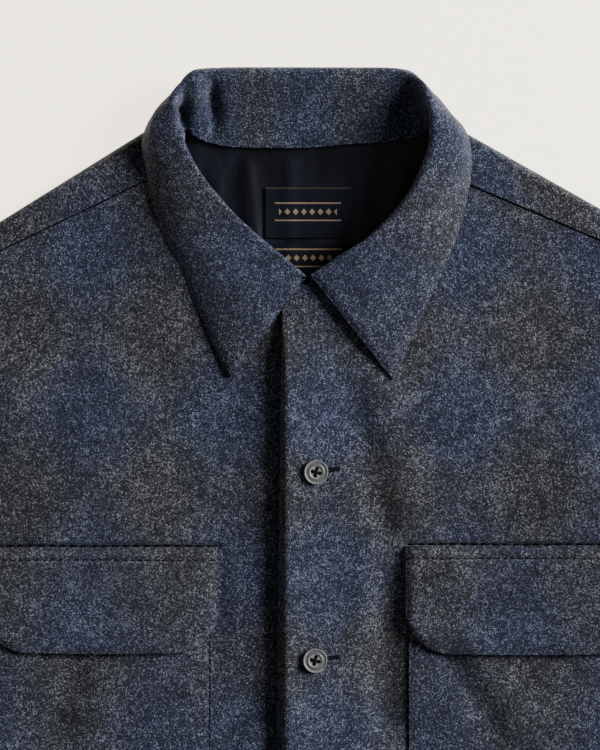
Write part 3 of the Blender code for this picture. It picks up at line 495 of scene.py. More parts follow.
def lap_lift(x, y):
    """How far the left front is lifted over the right one, with its free edge rolled up."""
    lap = LAP_LIFT * (1 - smooth(LAP_FULL_X, LAP_END_X, x))
    slope = np.clip((ROLL_END_X - x) / (ROLL_END_X - ROLL_CREST_X), 0.0, 1.0)
    rolled = mix(0.45, 1.0, smooth(ROLL_EDGE_X, ROLL_CREST_X, x)) * mix(slope, slope ** 2, 0.4)
    return lap + ROLL_LIFT * rolled * (1 - smooth(-128, -92, y))


def side_z(side, x, y):
    """Middle of the cloth of one front at x, y."""
    return front_z(x, y) + (lap_lift(x, y) if side == "left" else 0.0)


# Meshes and objects

def table_origin():
    """Where the tables' origin lies in the part's frame, found from the upper label."""
    low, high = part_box("neck_label_upper")
    x, y = LABELS["neck_label_upper"][:2]
    return np.array([(low.x + high.x) / 2 - x * MM, (low.y + high.y) / 2 - y * MM, 0.0])


ORIGIN = table_origin()


def in_frame(points):
    """Table points in the part's frame, in metres."""
    return np.asarray(points, float) * MM + ORIGIN


def choose_only(thing):
    """Select one object and make it active."""
    bpy.ops.object.select_all(action="DESELECT")
    thing.select_set(True)
    bpy.context.view_layer.objects.active = thing


def grid_faces(rows, columns, closed=False):
    """Faces of a grid of points kept row by row."""
    number = np.arange(rows * columns).reshape(rows, columns)
    following = np.roll(number, -1, axis=1)
    if not closed:
        number, following = number[:, :-1], following[:, :-1]
    return np.stack([number[:-1], following[:-1], following[1:], number[1:]], axis=-1).reshape(-1, 4)


def sew_sheet(name, points, chart, faces, wall, finish, edge=0.3):
    """Cloth wall from its middle surface, with the cloth's own chart as its UV map and soft edges."""
    mesh = bpy.data.meshes.new(name)
    mesh.from_pydata(in_frame(points), [], faces.tolist() if hasattr(faces, "tolist") else faces)
    layer = mesh.uv_layers.new(name="cloth")
    corners = np.zeros(len(mesh.loops), int)
    mesh.loops.foreach_get("vertex_index", corners)
    layer.data.foreach_set("uv", (np.asarray(chart, float) * MM)[corners].astype(np.float32).ravel())
    mesh.materials.append(finish)
    thing = bpy.data.objects.new(name, mesh)
    bpy.context.scene.collection.objects.link(thing)
    choose_only(thing)
    solid = thing.modifiers.new("wall", "SOLIDIFY")
    solid.thickness = wall * MM
    solid.offset = 0.0
    solid.use_quality_normals = True
    bpy.ops.object.modifier_apply(modifier=solid.name)
    soft = thing.modifiers.new("soft edge", "BEVEL")
    soft.limit_method = "ANGLE"
    soft.angle_limit = math.radians(55)
    soft.width = wall * edge * MM
    soft.segments = 2
    bpy.ops.object.modifier_apply(modifier=soft.name)
    bpy.ops.object.shade_smooth()
    return thing


def sew_grid(name, points, chart, wall, finish, closed=False, edge=0.3):
    """Cloth wall from a grid of points, rows by columns by three."""
    rows, columns = points.shape[:2]
    faces = grid_faces(rows, columns, closed)
    return sew_sheet(name, points.reshape(-1, 3), chart.reshape(-1, 2), faces, wall, finish, edge)


def lay(piece, node):
    """Put a cloth piece in the place of its CAD node: attach it to the root and hide the node."""
    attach(piece, "root")
    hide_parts(node)
    return piece


# Finishes

class Finish:
    """Node material while it is being put together."""

    def __init__(self, name):
        self.material = bpy.data.materials.new(name)
        self.material.use_nodes = True
        self.tree = self.material.node_tree
        self.shader = self.tree.nodes["Principled BSDF"]

    def add(self, kind, sockets, **settings):
        """New node with its settings made and its sockets set or linked."""
        node = self.tree.nodes.new("ShaderNode" + kind)
        for key, value in settings.items():
            setattr(node, key, value)
        for key, value in sockets.items():
            if isinstance(value, bpy.types.NodeSocket):
                self.tree.links.new(value, node.inputs[key])
            else:
                node.inputs[key].default_value = value
        return node

    def place(self):
        """Object coordinates."""
        return self.add("TexCoord", {}).outputs["Object"]

    def chart(self):
        """The cloth's own chart, in metres."""
        return self.add("UVMap", {}, uv_map="cloth").outputs["UV"]

    def turned(self, where, angle, stretch, start=0.0):
        """Coordinates turned by an angle and stretched along it."""
        sockets = {"Vector": where, "Location": (start, start * 0.7, 0),
                   "Rotation": (0.1, 0.15, math.radians(angle)),
                   "Scale": (stretch, 1, 1)}
        return self.add("Mapping", sockets, vector_type="TEXTURE").outputs[0]

    def noise(self, where, size, detail=1.0, roughness=0.5, distortion=0.0):
        """Noise with spots of a size in millimetres."""
        sockets = {"Vector": where, "Scale": 1 / (size * MM), "Detail": detail, "Roughness": roughness,
                   "Distortion": distortion}
        return self.add("TexNoise", sockets).outputs[0]

    def math(self, operation, a, b=0.0, c=0.0):
        """Result of a calculation."""
        return self.add("Math", {0: a, 1: b, 2: c}, operation=operation).outputs[0]

    def step(self, value, low, high, start=0.0, end=1.0):
        """Smooth step of a value from low to high."""
        sockets = {"Value": value, "From Min": low, "From Max": high, "To Min": start, "To Max": end}
        return self.add("MapRange", sockets, interpolation_type="SMOOTHSTEP").outputs[0]

    def blend(self, share, a, b):
        """Colour a share of the way from a to b."""
        return self.add("Mix", {0: share, 6: a, 7: b}, data_type="RGBA").outputs[2]

    def ramp(self, value, stops):
        """Colour of a value, by stops of place, red, green, blue."""
        node = self.add("ValToRGB", {0: value})
        marks = node.color_ramp.elements
        while len(marks) < len(stops):
            marks.new(0.5)
        for mark, (place, red, green, blue) in zip(marks, stops):
            mark.position = place
            mark.color = (red, green, blue, 1)
        return node.outputs[0]

    def bump(self, height, depth, strength=1.0):
        """Relief of the surface, depth in millimetres, into the shader."""
        sockets = {"Height": height, "Distance": depth * MM, "Strength": strength}
        bump = self.add("Bump", sockets).outputs[0]
        self.tree.links.new(bump, self.shader.inputs["Normal"])

    def colour(self, value):
        """Base colour of the shader."""
        self.tree.links.new(value, self.shader.inputs["Base Color"])

    def surface(self, **sockets):
        """Plain values of the shader's own sockets."""
        for key, value in sockets.items():
            self.shader.inputs[key.replace("_", " ")].default_value = value


# Heather of the wool: place in the ramp, red, green, blue
GREY_FIBRES = [
    (0.0, 0.0016, 0.0017, 0.0021),
    (0.28, 0.0051, 0.0054, 0.0066),
    (0.5, 0.0192, 0.0202, 0.0235),
    (0.72, 0.0585, 0.0592, 0.0648),
    (1.0, 0.1800, 0.1800, 0.1840),
]
BLUE_FIBRES = [
    (0.0, 0.0016, 0.0024, 0.0070),
    (0.28, 0.0045, 0.0062, 0.0200),
    (0.5, 0.0137, 0.0184, 0.0500),
    (0.72, 0.0412, 0.0506, 0.0985),
    (1.0, 0.1430, 0.1590, 0.2230),
]


def make_wool():
    """Napped wool with a blue and grey shadow check and heathered fibres."""
    wool = Finish("napped wool shadow check")
    place = wool.place()
    chart = wool.chart()
    parts = wool.add("SeparateXYZ", {0: chart})
    wander = wool.noise(place, 60.0, detail=1.0)
    bands = []
    for axis, repeat in enumerate(CHECK):
        drift = wool.math("MULTIPLY_ADD", wander, 0.012, -0.006)
        moved = wool.math("ADD", parts.outputs[axis], drift)
        turn = wool.math("MULTIPLY", moved, 2 * math.pi / (repeat * MM))
        bands.append(wool.math("COSINE", turn))
    both = wool.math("MULTIPLY_ADD", wool.math("ADD", bands[0], bands[1]), 0.28, 0.5)
    speckle = wool.noise(wool.turned(place, 63, 2.2, 0.37), 1.1, detail=2.0, roughness=0.65)
    cloudy = wool.noise(place, 9.0, detail=2.0)
    loose = wool.math("MULTIPLY_ADD", speckle, 1.6, -0.8)
    loose = wool.math("ADD", loose, wool.math("MULTIPLY_ADD", cloudy, 0.36, -0.18))
    blue_share = wool.step(wool.math("ADD", both, loose), 0.0, 1.0)

    lit = None
    dark = None
    for number, angle in enumerate((12, 74, 133)):
        strand = wool.noise(wool.turned(place, angle, 2.3, 0.21 * number), 0.85, detail=1.0)
        lit = strand if lit is None else wool.math("MAXIMUM", lit, strand)
        dark = strand if dark is None else wool.math("MINIMUM", dark, strand)
    light_fibre = wool.step(lit, 0.56, 0.72)
    dark_fibre = wool.step(dark, 0.45, 0.30)
    grain = wool.noise(place, 0.8, detail=2.0, roughness=0.75)
    mottle = wool.noise(place, 4.0, detail=3.0, roughness=0.6)
    patchy = wool.noise(place, 16.0, detail=2.0)
    tone = wool.math("MULTIPLY_ADD", grain, 2.4, -0.70)
    tone = wool.math("ADD", tone, wool.math("MULTIPLY", light_fibre, 0.34))
    tone = wool.math("SUBTRACT", tone, wool.math("MULTIPLY", dark_fibre, 0.46))
    tone = wool.math("ADD", tone, wool.math("MULTIPLY_ADD", mottle, 0.7, -0.35))
    tone = wool.math("ADD", tone, wool.math("MULTIPLY_ADD", patchy, 0.5, -0.25))
    grey = wool.ramp(tone, GREY_FIBRES)
    blue = wool.ramp(tone, BLUE_FIBRES)
    wool.colour(wool.blend(blue_share, grey, blue))
    nap = wool.math("ADD", wool.math("MULTIPLY", light_fibre, 0.6), wool.math("MULTIPLY", grain, 0.8))
    wool.bump(nap, 0.5, 0.8)
    wool.surface(Roughness=0.95, Specular_IOR_Level=0.15, Sheen_Weight=0.2, Sheen_Roughness=0.6)
    wool.surface(Sheen_Tint=(0.75, 0.8, 0.9, 1))
    return wool.material


def make_lining():
    """Dark satin lining with a fine warp, and long lighter streaks of painted sheen in its colour."""
    satin = Finish("satin lining")
    place = satin.place()
    threads = satin.noise(satin.turned(place, 90, 14.0), 0.35, detail=2.0)
    # Long soft streaks that lighten the colour are painted sheen of the satin; the fine threads are its warp.
    painted_sheen_streak = satin.noise(satin.turned(place, 90, 4.0), 13.0, detail=2.0)
    tone = satin.math("ADD", satin.math("MULTIPLY", threads, 0.35), satin.math("MULTIPLY", painted_sheen_streak, 0.65))
    stops = [(0.35, 0.0015, 0.0018, 0.0042), (0.5, 0.0034, 0.0042, 0.0085), (0.68, 0.0120, 0.0145, 0.0240)]
    satin.colour(satin.ramp(tone, stops))
    satin.bump(threads, 0.05, 0.5)
    satin.surface(Roughness=0.38, Specular_IOR_Level=0.25)
    return satin.material


def make_label():
    """Woven label with two plain gold lines and a row of lozenges."""
    label = Finish("woven label")
    parts = label.add("SeparateXYZ", {0: label.chart()})
    across, up = parts.outputs[0], parts.outputs[1]
    side = label.math("ABSOLUTE", across)
    gold = None
    for height, half_length, half_width in ((5.6, 19.0, 0.32), (-4.4, 19.0, 0.32)):
        line = label.step(label.math("ABSOLUTE", label.math("SUBTRACT", up, height * MM)),
                          (half_width + 0.2) * MM,
                          half_width * MM)
        line = label.math("MULTIPLY", line, label.step(side, (half_length + 0.4) * MM, half_length * MM))
        gold = line if gold is None else label.math("MAXIMUM", gold, line)
    cell = label.math("PINGPONG", across, 2.4 * MM)
    off = label.math("SUBTRACT", 2.4 * MM, cell)
    height = label.math("ABSOLUTE", label.math("SUBTRACT", up, 0.6 * MM))
    lozenge = label.math("ADD", off, label.math("MULTIPLY", height, 0.9))
    shape = label.math("MULTIPLY", label.step(lozenge, 1.9 * MM, 1.6 * MM),
                       label.step(side, 16.9 * MM, 16.7 * MM))
    gold = label.math("MAXIMUM", gold, shape)
    weave = label.add("TexWave", {"Vector": label.chart(), "Scale": 400.0, "Distortion": 0.6},
                      bands_direction="Y")
    weft = label.math("MULTIPLY_ADD", weave.outputs[1], 0.5, 0.6)
    tuft = label.noise(label.chart(), 0.3, detail=2.0)
    ground = label.ramp(tuft, [(0.3, 0.0022, 0.003, 0.006), (0.7, 0.006, 0.008, 0.015)])
    top_edge = label.math("MULTIPLY", label.step(up, 13.7 * MM, 14.0 * MM),
                          label.step(up, 15.2 * MM, 14.9 * MM))
    gold = label.math("MAXIMUM", gold, label.math("MULTIPLY", top_edge, 0.16))
    thread = label.ramp(tuft, [(0.3, 0.16, 0.115, 0.07), (0.7, 0.36, 0.27, 0.17)])
    label.colour(label.blend(label.math("MULTIPLY", gold, weft), ground, thread))
    label.bump(label.math("ADD", weft, gold), 0.12, 0.6)
    label.surface(Roughness=0.75, Specular_IOR_Level=0.12)
    return label.material


def make_button_finish(name, shade):
    """Matt grey moulded button, a little worn and cloudy, its colour scaled by shade; a copy at half scale
    paints the shade in the button's groove.
    """
    button = Finish(name)
    place = button.place()
    cloud = button.noise(place, 2.2, detail=3.0)
    fine = button.noise(place, 0.35, detail=2.0)
    tone = button.math("ADD", button.math("MULTIPLY", cloud, 0.7), button.math("MULTIPLY", fine, 0.3))
    low, high = 0.105 * shade, 0.19 * shade
    button.colour(button.ramp(tone, [(0.3, low, low * 1.02, low * 1.05),
                                     (0.7, high, high * 1.01, high * 1.03)]))
    button.bump(fine, 0.05, 0.4)
    button.surface(Roughness=0.36, Specular_IOR_Level=0.5)
    return button.material


def make_thread():
    """Dark twisted sewing thread."""
    thread = Finish("sewing thread")
    place = thread.place()
    twist = thread.noise(place, 0.25, detail=2.0)
    thread.colour(thread.ramp(twist, [(0.3, 0.0015, 0.0018, 0.003), (0.7, 0.005, 0.006, 0.010)]))
    thread.bump(twist, 0.05, 0.5)
    thread.surface(Roughness=0.85, Specular_IOR_Level=0.15)
    return thread.material


def make_fuzz():
    """Loose fibres, dark ones and a few pale ones."""
    fuzz = Finish("loose fibres")
    spot = fuzz.noise(fuzz.place(), 1.4, detail=1.0)
    fuzz.colour(fuzz.ramp(spot, [(0.35, 0.012, 0.014, 0.026), (0.55, 0.050, 0.058, 0.090),
                                 (0.7, 0.22, 0.23, 0.25)]))
    fuzz.surface(Roughness=0.9, Specular_IOR_Level=0.1)
    return fuzz.material


WOOL = make_wool()
SATIN = make_lining()
WOVEN = make_label()
HORN = make_button_finish("moulded button", 1.0)
# Half-bright copy of the button finish for the groove band: painted shade in the recess.
GROOVE_PAINTED_SHADE = make_button_finish("moulded button groove painted shade", 0.5)
THREAD = make_thread()
FUZZ = make_fuzz()


def cloth_chart(x, y, blue_at, stretch=(1.0, 1.0)):
    """Chart of a flat piece, with a blue band of the check at blue_at."""
    return np.stack([(x - blue_at[0]) * stretch[0], (y - blue_at[1]) * stretch[1]], axis=-1)


# Fronts

def front_grid(side):
    """Points of a front, row by row from the yoke seam to the hem."""
    top = YOKE_SEAM_NECK_Y[side]
    low = YOKE_SEAM_ARM_Y[side]
    neck_y = np.linspace(top, low, 27)[:-1] - SEAM
    body_y = np.concatenate([np.linspace(low - SEAM, BACK_YOKE_Y, 7)[:-1],
                             np.linspace(BACK_YOKE_Y, HEM_Y, 205)])
    flap_rows = FLAP_Y[side][0] + np.linspace(-3, 5, 14)
    body_y = np.concatenate([body_y[np.abs(body_y - flap_rows.mean()) > 4.6], flap_rows])
    body_y = np.sort(body_y)[::-1]
    y = np.concatenate([neck_y, body_y])
    inner = np.concatenate([neckline_x(side, neck_y), free_edge_x(side, body_y)])
    inner[len(neck_y)] = FREE_EDGE_X[side]
    outer = np.concatenate([yoke_seam_x(side, neck_y + SEAM), outer_x(side, body_y)])
    share = np.concatenate([np.linspace(0, 0.1, 19), np.linspace(0.1, 1.0, 90)[1:]])
    x = SIGN[side] * mix(inner[:, None], outer[:, None], share[None, :])
    y = np.broadcast_to(y[:, None], x.shape)
    return np.stack([x, y, side_z(side, x, y) - flap_seam_dip(side, np.abs(x), y)], axis=-1)


def flap_seam_dip(side, x, y):
    """How far the seam at the top of a flap pulls the front down."""
    start, end = FLAP_X[side]
    along = smooth(start - 3, start + 1, x) * (1 - smooth(end - 1, end + 3, x))
    return SEAM_DIP * along * np.exp(-((y - FLAP_Y[side][0] - 0.6) / SEAM_DIP_WIDTH) ** 2)


def sew_front(side):
    """One front of the shirt."""
    points = front_grid(side)
    chart = cloth_chart(points[..., 0], points[..., 1], BLUE_AT[side])
    GRIDS["front_" + side] = points
    piece = sew_grid("front_" + side + "_cloth", points, chart, WALL, WOOL)
    return lay(piece, "front_" + side)


# Back, yoke and lining

def sew_back():
    """Back panel below the yoke, flat on the surface."""
    y = np.linspace(BACK_YOKE_Y - SEAM, HEM_Y, 110)
    share = np.linspace(0, 1, 90)
    x = mix(-outer_x("right", y)[:, None], outer_x("left", y)[:, None], share[None, :])
    y = np.broadcast_to(y[:, None], x.shape)
    points = np.stack([x, y, np.full(x.shape, BACK_Z)], axis=-1)
    piece = sew_grid("back_cloth", points, cloth_chart(x, y, BLUE_AT["left"]), WALL, WOOL)
    return lay(piece, "back")


def yoke_column(side, x):
    """Points of a yoke column from the back seam over the shoulder to the front seam."""
    radius = (float(shoulder_top(x)) - BACK_Z) / 2
    crest = float(shoulder_y(side, x))
    flat_end = crest - radius
    y = list(np.linspace(BACK_YOKE_Y, flat_end, 26))
    z = [BACK_Z] * 26
    for angle in range(-75, 91, 15):
        turn = math.radians(angle)
        y.append(crest - radius * (1 - math.cos(turn)))
        z.append(BACK_Z + radius * (1 + math.sin(turn)))
    strip = np.linspace(flat_end, float(yoke_seam_y(side, x)) + SEAM, 12)[1:]
    y += list(strip)
    z += list(front_z(SIGN[side] * x, strip))
    return np.stack([np.full(len(y), SIGN[side] * x), y, z], axis=-1)


def sew_yoke():
    """Yoke, flat under the neck and folded over both shoulders."""
    outer = {side: np.linspace(NECK_X, SHOULDER[side][0], 46) for side in SIGN}
    columns = [yoke_column("right", x) for x in outer["right"][::-1]]
    for x in np.linspace(-NECK_X, NECK_X, 50)[1:-1]:
        y = np.linspace(BACK_YOKE_Y, np.interp(x, *zip(*BACK_NECK)), 26)
        columns.append(np.stack([np.full(26, x), y, np.full(26, BACK_Z)], axis=-1))
    columns += [yoke_column("left", x) for x in outer["left"]]
    starts = np.cumsum([0] + [len(column) for column in columns])
    faces = []
    for number in range(len(columns) - 1):
        shared = min(len(columns[number]), len(columns[number + 1]))
        for step in range(shared - 1):
            a, b = starts[number] + step, starts[number + 1] + step
            faces.append((a, b, b + 1, a + 1))
    charts = []
    for column in columns:
        steps = np.linalg.norm(np.diff(column, axis=0), axis=-1)
        length = BACK_YOKE_Y + np.concatenate([[0], np.cumsum(steps)])
        charts.append(cloth_chart(column[:, 0], length, BLUE_AT["yoke"]))
    faces = np.array(faces)
    piece = sew_sheet("yoke_cloth", np.concatenate(columns), np.concatenate(charts), faces, WALL, WOOL)
    return lay(piece, "yoke")


def lining_z(x, y):
    """Middle of the lining, with the soft folds it takes inside the neck."""
    return LINING_Z + np.maximum(0.0, fold_height(LINING_FOLDS, x, y))


def sew_lining():
    """Yoke lining, seen inside the neck."""
    inner = np.linspace(-NECK_X + 2.5, NECK_X - 2.5, 74)
    outer = np.linspace(NECK_X, LINING_REACH_X, 24)
    x = np.concatenate([-outer[::-1], inner, outer])
    neck = np.interp(x, *zip(*BACK_NECK)) - SEAM
    shoulder = by_side(x, shoulder_y, np.abs(x)) - LINING_INSET
    top = np.where(np.abs(x) < NECK_X, neck, shoulder)
    share = np.linspace(0, 1, 50)[:, None]
    y = mix(LINING_END_Y, top[None, :], share)
    x = np.broadcast_to(x[None, :], y.shape)
    points = np.stack([x, y, lining_z(x, y)], axis=-1)
    piece = sew_grid("yoke_lining_cloth", points, points[..., :2], LINING_WALL, SATIN)
    return lay(piece, "yoke_lining")


def sew_label(name):
    """Woven label on the lining."""
    middle_x, middle_y, width, height = LABELS[name]
    across, up = np.meshgrid(np.linspace(-width / 2, width / 2, 60), np.linspace(-height / 2, height / 2, 36))
    x, y = middle_x + across, middle_y + up
    points = np.stack([x, y, lining_z(x, y) + LABEL_STAND], axis=-1)
    piece = sew_grid(name + "_cloth", points, np.stack([across, up], axis=-1), LABEL_WALL, WOVEN)
    return lay(piece, name)


# Pockets and flaps

def patch_columns(start, end, corner):
    """x of the columns of a patch, close together at its rounded corners."""
    rounds = corner * (1 - np.cos(np.radians(np.linspace(0, 90, 13))))
    middle = np.linspace(start + corner, end - corner, 44)[1:-1]
    return np.concatenate([start + rounds, middle, end - rounds[::-1]])


def patch_bottom(x, start, end, low, corner, bow):
    """Lower edge of a patch at x, with rounded corners and a slight bow."""
    inset = np.maximum(0.0, corner - np.minimum(x - start, end - x))
    rise = corner - np.sqrt(np.maximum(0.0, corner ** 2 - inset ** 2))
    return low + rise - bow * np.sin(math.pi * (x - start) / (end - start))


def rolled_edge(distance):
    """How far a turned edge drops, from 1 at the edge to 0 on the flat cloth."""
    return 1 - smooth(0, EDGE_ROLL, distance)


def patch_grid(side, span, top, low, corner, bow, rows, stand, drop):
    """Points of a patch that follows the front under it, stand is its height over the front."""
    x = patch_columns(*span, corner)
    bottom = patch_bottom(x, *span, low, corner, bow)
    y = mix(top, bottom[None, :], rows[:, None])
    edge = np.minimum(np.minimum(x - span[0], span[1] - x)[None, :], y - bottom[None, :])
    x = SIGN[side] * np.broadcast_to(x[None, :], y.shape)
    return np.stack([x, y, side_z(side, x, y) + stand(y) - drop * rolled_edge(edge)], axis=-1)


def flap_stand(side, y):
    """Height of a flap's middle over the front's, along its depth."""
    top, low = FLAP_Y[side]
    seat = mix(FLAP_STAND_TOP, FLAP_STAND, smooth(0, FLAP_SETTLE_Y, top - y))
    groove = STITCH_DIP * np.exp(-((top - STITCH_LINE - y) / STITCH_DIP_WIDTH) ** 2)
    return seat + FLAP_LIFT * smooth(0.35, 1.0, (top - y) / (top - low)) - groove


def sew_pocket(side):
    """Patch pocket on a front, cut across the check."""
    rows = np.linspace(0, 1, 60)
    shape = (POCKET_X[side], *POCKET_Y, POCKET_CORNER, 0.0)
    points = patch_grid(side, *shape, rows, lambda y: POCKET_STAND, POCKET_DROP)
    chart = cloth_chart(points[..., 0], points[..., 1], POCKET_BLUE_AT[side], PATCH_STRETCH)
    piece = sew_grid("pocket_" + side + "_cloth", points, chart, WALL, WOOL)
    return lay(piece, "pocket_" + side)


def sew_flap(side):
    """Flap with rounded corners over a pocket."""
    rows = np.concatenate([np.linspace(0, 0.18, 26), np.linspace(0.18, 1, 40)[1:]])
    shape = (FLAP_X[side], *FLAP_Y[side], FLAP_CORNER, FLAP_BOW)
    points = patch_grid(side, *shape, rows, lambda y: flap_stand(side, y), FLAP_DROP)
    chart = cloth_chart(points[..., 0], points[..., 1], FLAP_BLUE_AT[side], PATCH_STRETCH)
    GRIDS["flap_" + side] = points
    piece = sew_grid("flap_" + side + "_cloth", points, chart, FLAP_WALL, WOOL, edge=0.38)
    return lay(piece, "flap_" + side)


# Collar

def collar_profile(section):
    """Points of the collar from its base over the roll to the outer edge."""
    base, roll, edge = section[0:3], section[3:6], section[7:10]
    angle = math.radians(section[6])
    inward = np.array([roll[0] - base[0], roll[1] - base[1], 0.0])
    outward = np.array([edge[0] - roll[0], edge[1] - roll[1], 0.0])
    inward /= np.linalg.norm(inward)
    outward /= np.linalg.norm(outward)
    away = mix(inward, outward, float(smooth(-76, -50, section[6])))
    up = np.array([0.0, 0.0, 1.0])
    lean = math.cos(angle)
    turned = roll + COLLAR_TURN * (away * lean + up * math.sin(angle))
    belly = STAND_BELLY * np.linalg.norm(roll - base)
    stand = mix(base, roll, 0.5) + belly * (away * lean - up * (1 - lean))
    fall = mix(turned, edge, 0.5) + FALL_BELLY * (away * lean + up * lean - up * (1 - lean))
    knots = [base, stand, roll, turned, fall, edge]
    points = [knots[0]]
    for span, steps in enumerate(PROFILE_STEPS):
        points += [spline(knots, step / steps, span) for step in range(1, steps + 1)]
    points = np.array(points)
    points[:, 2] = np.maximum(points[:, 2], COLLAR_WALL / 2)
    return points


def run_length(points, axis):
    """Length along the rows or the columns of a grid of points, from its first point."""
    steps = np.linalg.norm(np.diff(points, axis=axis), axis=-1)
    return np.insert(np.cumsum(steps, axis=axis), 0, 0.0, axis=axis)


def surface_normals(points):
    """Upward directions square to a grid of points."""
    normals = np.cross(np.gradient(points, axis=0), np.gradient(points, axis=1))
    normals /= np.maximum(np.linalg.norm(normals, axis=-1, keepdims=True), 1e-9)
    return np.where(normals[..., 2:] < 0, -normals, normals)


def sew_collar():
    """One-piece collar, closed at the front, its fall under it at the back."""
    sections = COLLAR_RIGHT[::-1] + [COLLAR_BACK] + COLLAR_LEFT
    points = np.array([collar_profile(section) for section in along_rows(sections, COLLAR_STEPS)])
    roll = sum(PROFILE_STEPS[:2])
    run = np.linalg.norm(np.diff(points[:, roll], axis=0), axis=-1)
    around = np.concatenate([[0], np.cumsum(run)])
    around -= around[len(around) // 2]
    across = run_length(points, 1)
    across -= across[:, roll][:, None]
    around = np.broadcast_to(around[:, None], across.shape)
    dents = np.zeros(across.shape)
    for u, v, half_along, half_across, height in COLLAR_DENTS:
        dents += height * np.exp(-((around - u) / half_along) ** 2 - ((across - v) / half_across) ** 2)
    points += dents[..., None] * surface_normals(points)
    points[..., 2] = np.where(across < 0, np.maximum(points[..., 2], COLLAR_FLOOR), points[..., 2])
    outer = across[:, -1][:, None] - across
    along = run_length(points, 0)
    front = np.minimum(along, along[-1] - along)
    loose = smooth(70, 95, np.abs(around))
    points[..., 2] -= COLLAR_DROP * loose * rolled_edge(np.minimum(outer, front + 30 * (across < 0)))
    place = np.sign(around) * np.interp(np.abs(around), COLLAR_CHECK_ALONG, COLLAR_CHECK_PLACE)
    chart = cloth_chart(place, across, BLUE_AT["collar"], (1.0, COLLAR_CHECK_ACROSS))
    GRIDS["collar"] = points
    piece = sew_grid("collar_cloth", points, chart, COLLAR_WALL, WOOL, edge=0.38)
    return lay(piece, "collar")


# Sleeves and cuffs

def armhole_bend(side):
    """Where along the armhole its bend pulls, as a share, and how far it pulls inwards."""
    shoulder = np.array(SHOULDER[side])
    chord = np.array(UNDERARM[side]) - shoulder
    bend = np.array(ARMHOLE_BEND[side]) - shoulder
    length = math.hypot(*chord)
    return float(bend @ chord) / length ** 2, (bend[0] * chord[1] - bend[1] * chord[0]) / length


def tube_ring(top, under, bend, top_radius, low_radius, floor_z, height, top_points, low_points, angles):
    """Flattened ring between the top fold and the lower fold of a sleeve."""
    width = math.hypot(under[0] - top[0], under[1] - top[1])
    turn = np.radians(angles)
    first = top_radius * (1 - np.cos(turn))
    first_z = floor_z + top_radius * (1 + np.sin(turn))
    upper = np.linspace(top_radius, width - low_radius, top_points + 2)[1:-1]
    second = width - low_radius * (1 - np.cos(turn[::-1]))
    second_z = floor_z + low_radius * (1 + np.sin(turn[::-1]))
    lower = np.linspace(width - low_radius, top_radius, low_points + 2)[1:-1]
    distance = np.concatenate([first, upper, second, lower])
    z = np.concatenate([first_z, height(upper / width), second_z, np.full(low_points, floor_z)])
    reach, pull = bend
    share = np.minimum(1.0, distance / width)
    step = share
    if abs(1 - 2 * reach) > 0.01:
        step = (-reach + np.sqrt(reach ** 2 + (1 - 2 * reach) * share)) / (1 - 2 * reach)
    bow = 2 * step * (1 - step) * pull
    across = ((under[0] - top[0]) / width, (under[1] - top[1]) / width)
    x = top[0] + across[0] * distance + across[1] * bow
    y = top[1] + across[1] * distance - across[0] * bow
    return np.stack([x, y, z], axis=-1)


def sleeve_sections(side):
    """Sleeve table of one side, turned a little about the shoulder."""
    shoulder, under = SHOULDER[side], UNDERARM[side]
    first_radius = (float(shoulder_top(shoulder[0])) - BACK_Z) / 2
    side_radius = (FRONT_REST_Z - BACK_Z) / 2
    pull = armhole_bend(side)[1]
    first = [shoulder[0] + SEAM, shoulder[1], under[0] + UNDERARM_SEAM, under[1]]
    rows = [first + [pull, first_radius, side_radius, 0.0]]
    turn = math.radians(SLEEVE_TURN[side])
    for section in SLEEVE_SECTIONS:
        row = list(section)
        for start in (0, 2):
            x = section[start] + SLEEVE_SHIFT[side][0] - shoulder[0]
            y = section[start + 1] + SLEEVE_SHIFT[side][1] - shoulder[1]
            row[start] = shoulder[0] + x * math.cos(turn) - y * math.sin(turn)
            row[start + 1] = shoulder[1] + x * math.sin(turn) + y * math.cos(turn)
        rows.append(row)
    return rows


def sleeve_ring(side, section, number):
    """Ring of a sleeve at one section, number counted in table rows from the armhole."""
    top_x, top_y, low_x, low_y, bend, top_radius, low_radius, puff = section
    shift_x, shift_y = SLEEVE_SHIFT[side]

    def height(share):
        return BACK_Z + 2 * mix(top_radius, low_radius, share) + puff * np.sin(math.pi * share) ** 0.7

    pull = (armhole_bend(side)[0], bend)
    ring = tube_ring((top_x, top_y), (low_x, low_y), pull, top_radius, low_radius, BACK_Z, height,
                     SLEEVE_TOP_POINTS, SLEEVE_LOW_POINTS, FOLD_ANGLES)
    upper = slice(len(FOLD_ANGLES), len(FOLD_ANGLES) + SLEEVE_TOP_POINTS)
    x, y, z = ring[upper].T
    body = front_z(SIGN[side] * np.minimum(x, outer_x(side, y)), y)
    fold = fold_height(SLEEVE_FOLDS, x - shift_x, y - shift_y)
    join = 1 - smooth(0, SLEEVE_JOIN_ROWS, number)
    ring[upper, 2] = mix(z + fold, body, join)
    ring[:, 0] *= SIGN[side]
    return ring


def sew_sleeve(side):
    """Sleeve, a flattened tube open at both ends."""
    rows = along_rows(sleeve_sections(side), SLEEVE_STEPS)
    points = np.array([sleeve_ring(side, row, number / SLEEVE_STEPS) for number, row in enumerate(rows)])
    middle = len(FOLD_ANGLES) + SLEEVE_TOP_POINTS // 2
    run = np.linalg.norm(np.diff(points[:, middle], axis=0), axis=-1)
    along = np.concatenate([[0], np.cumsum(run)])
    steps = np.linalg.norm(np.diff(points, axis=1), axis=-1)
    around = np.concatenate([np.zeros((len(points), 1)), np.cumsum(steps, axis=1)], axis=1)
    around -= around[:, middle][:, None]
    along = np.broadcast_to(along[:, None], around.shape)
    chart = np.stack([SIGN[side] * around, 30.0 - along], axis=-1)
    piece = sew_grid("sleeve_" + side + "_cloth", points, chart, WALL, WOOL, closed=True)
    return lay(piece, "sleeve_" + side)


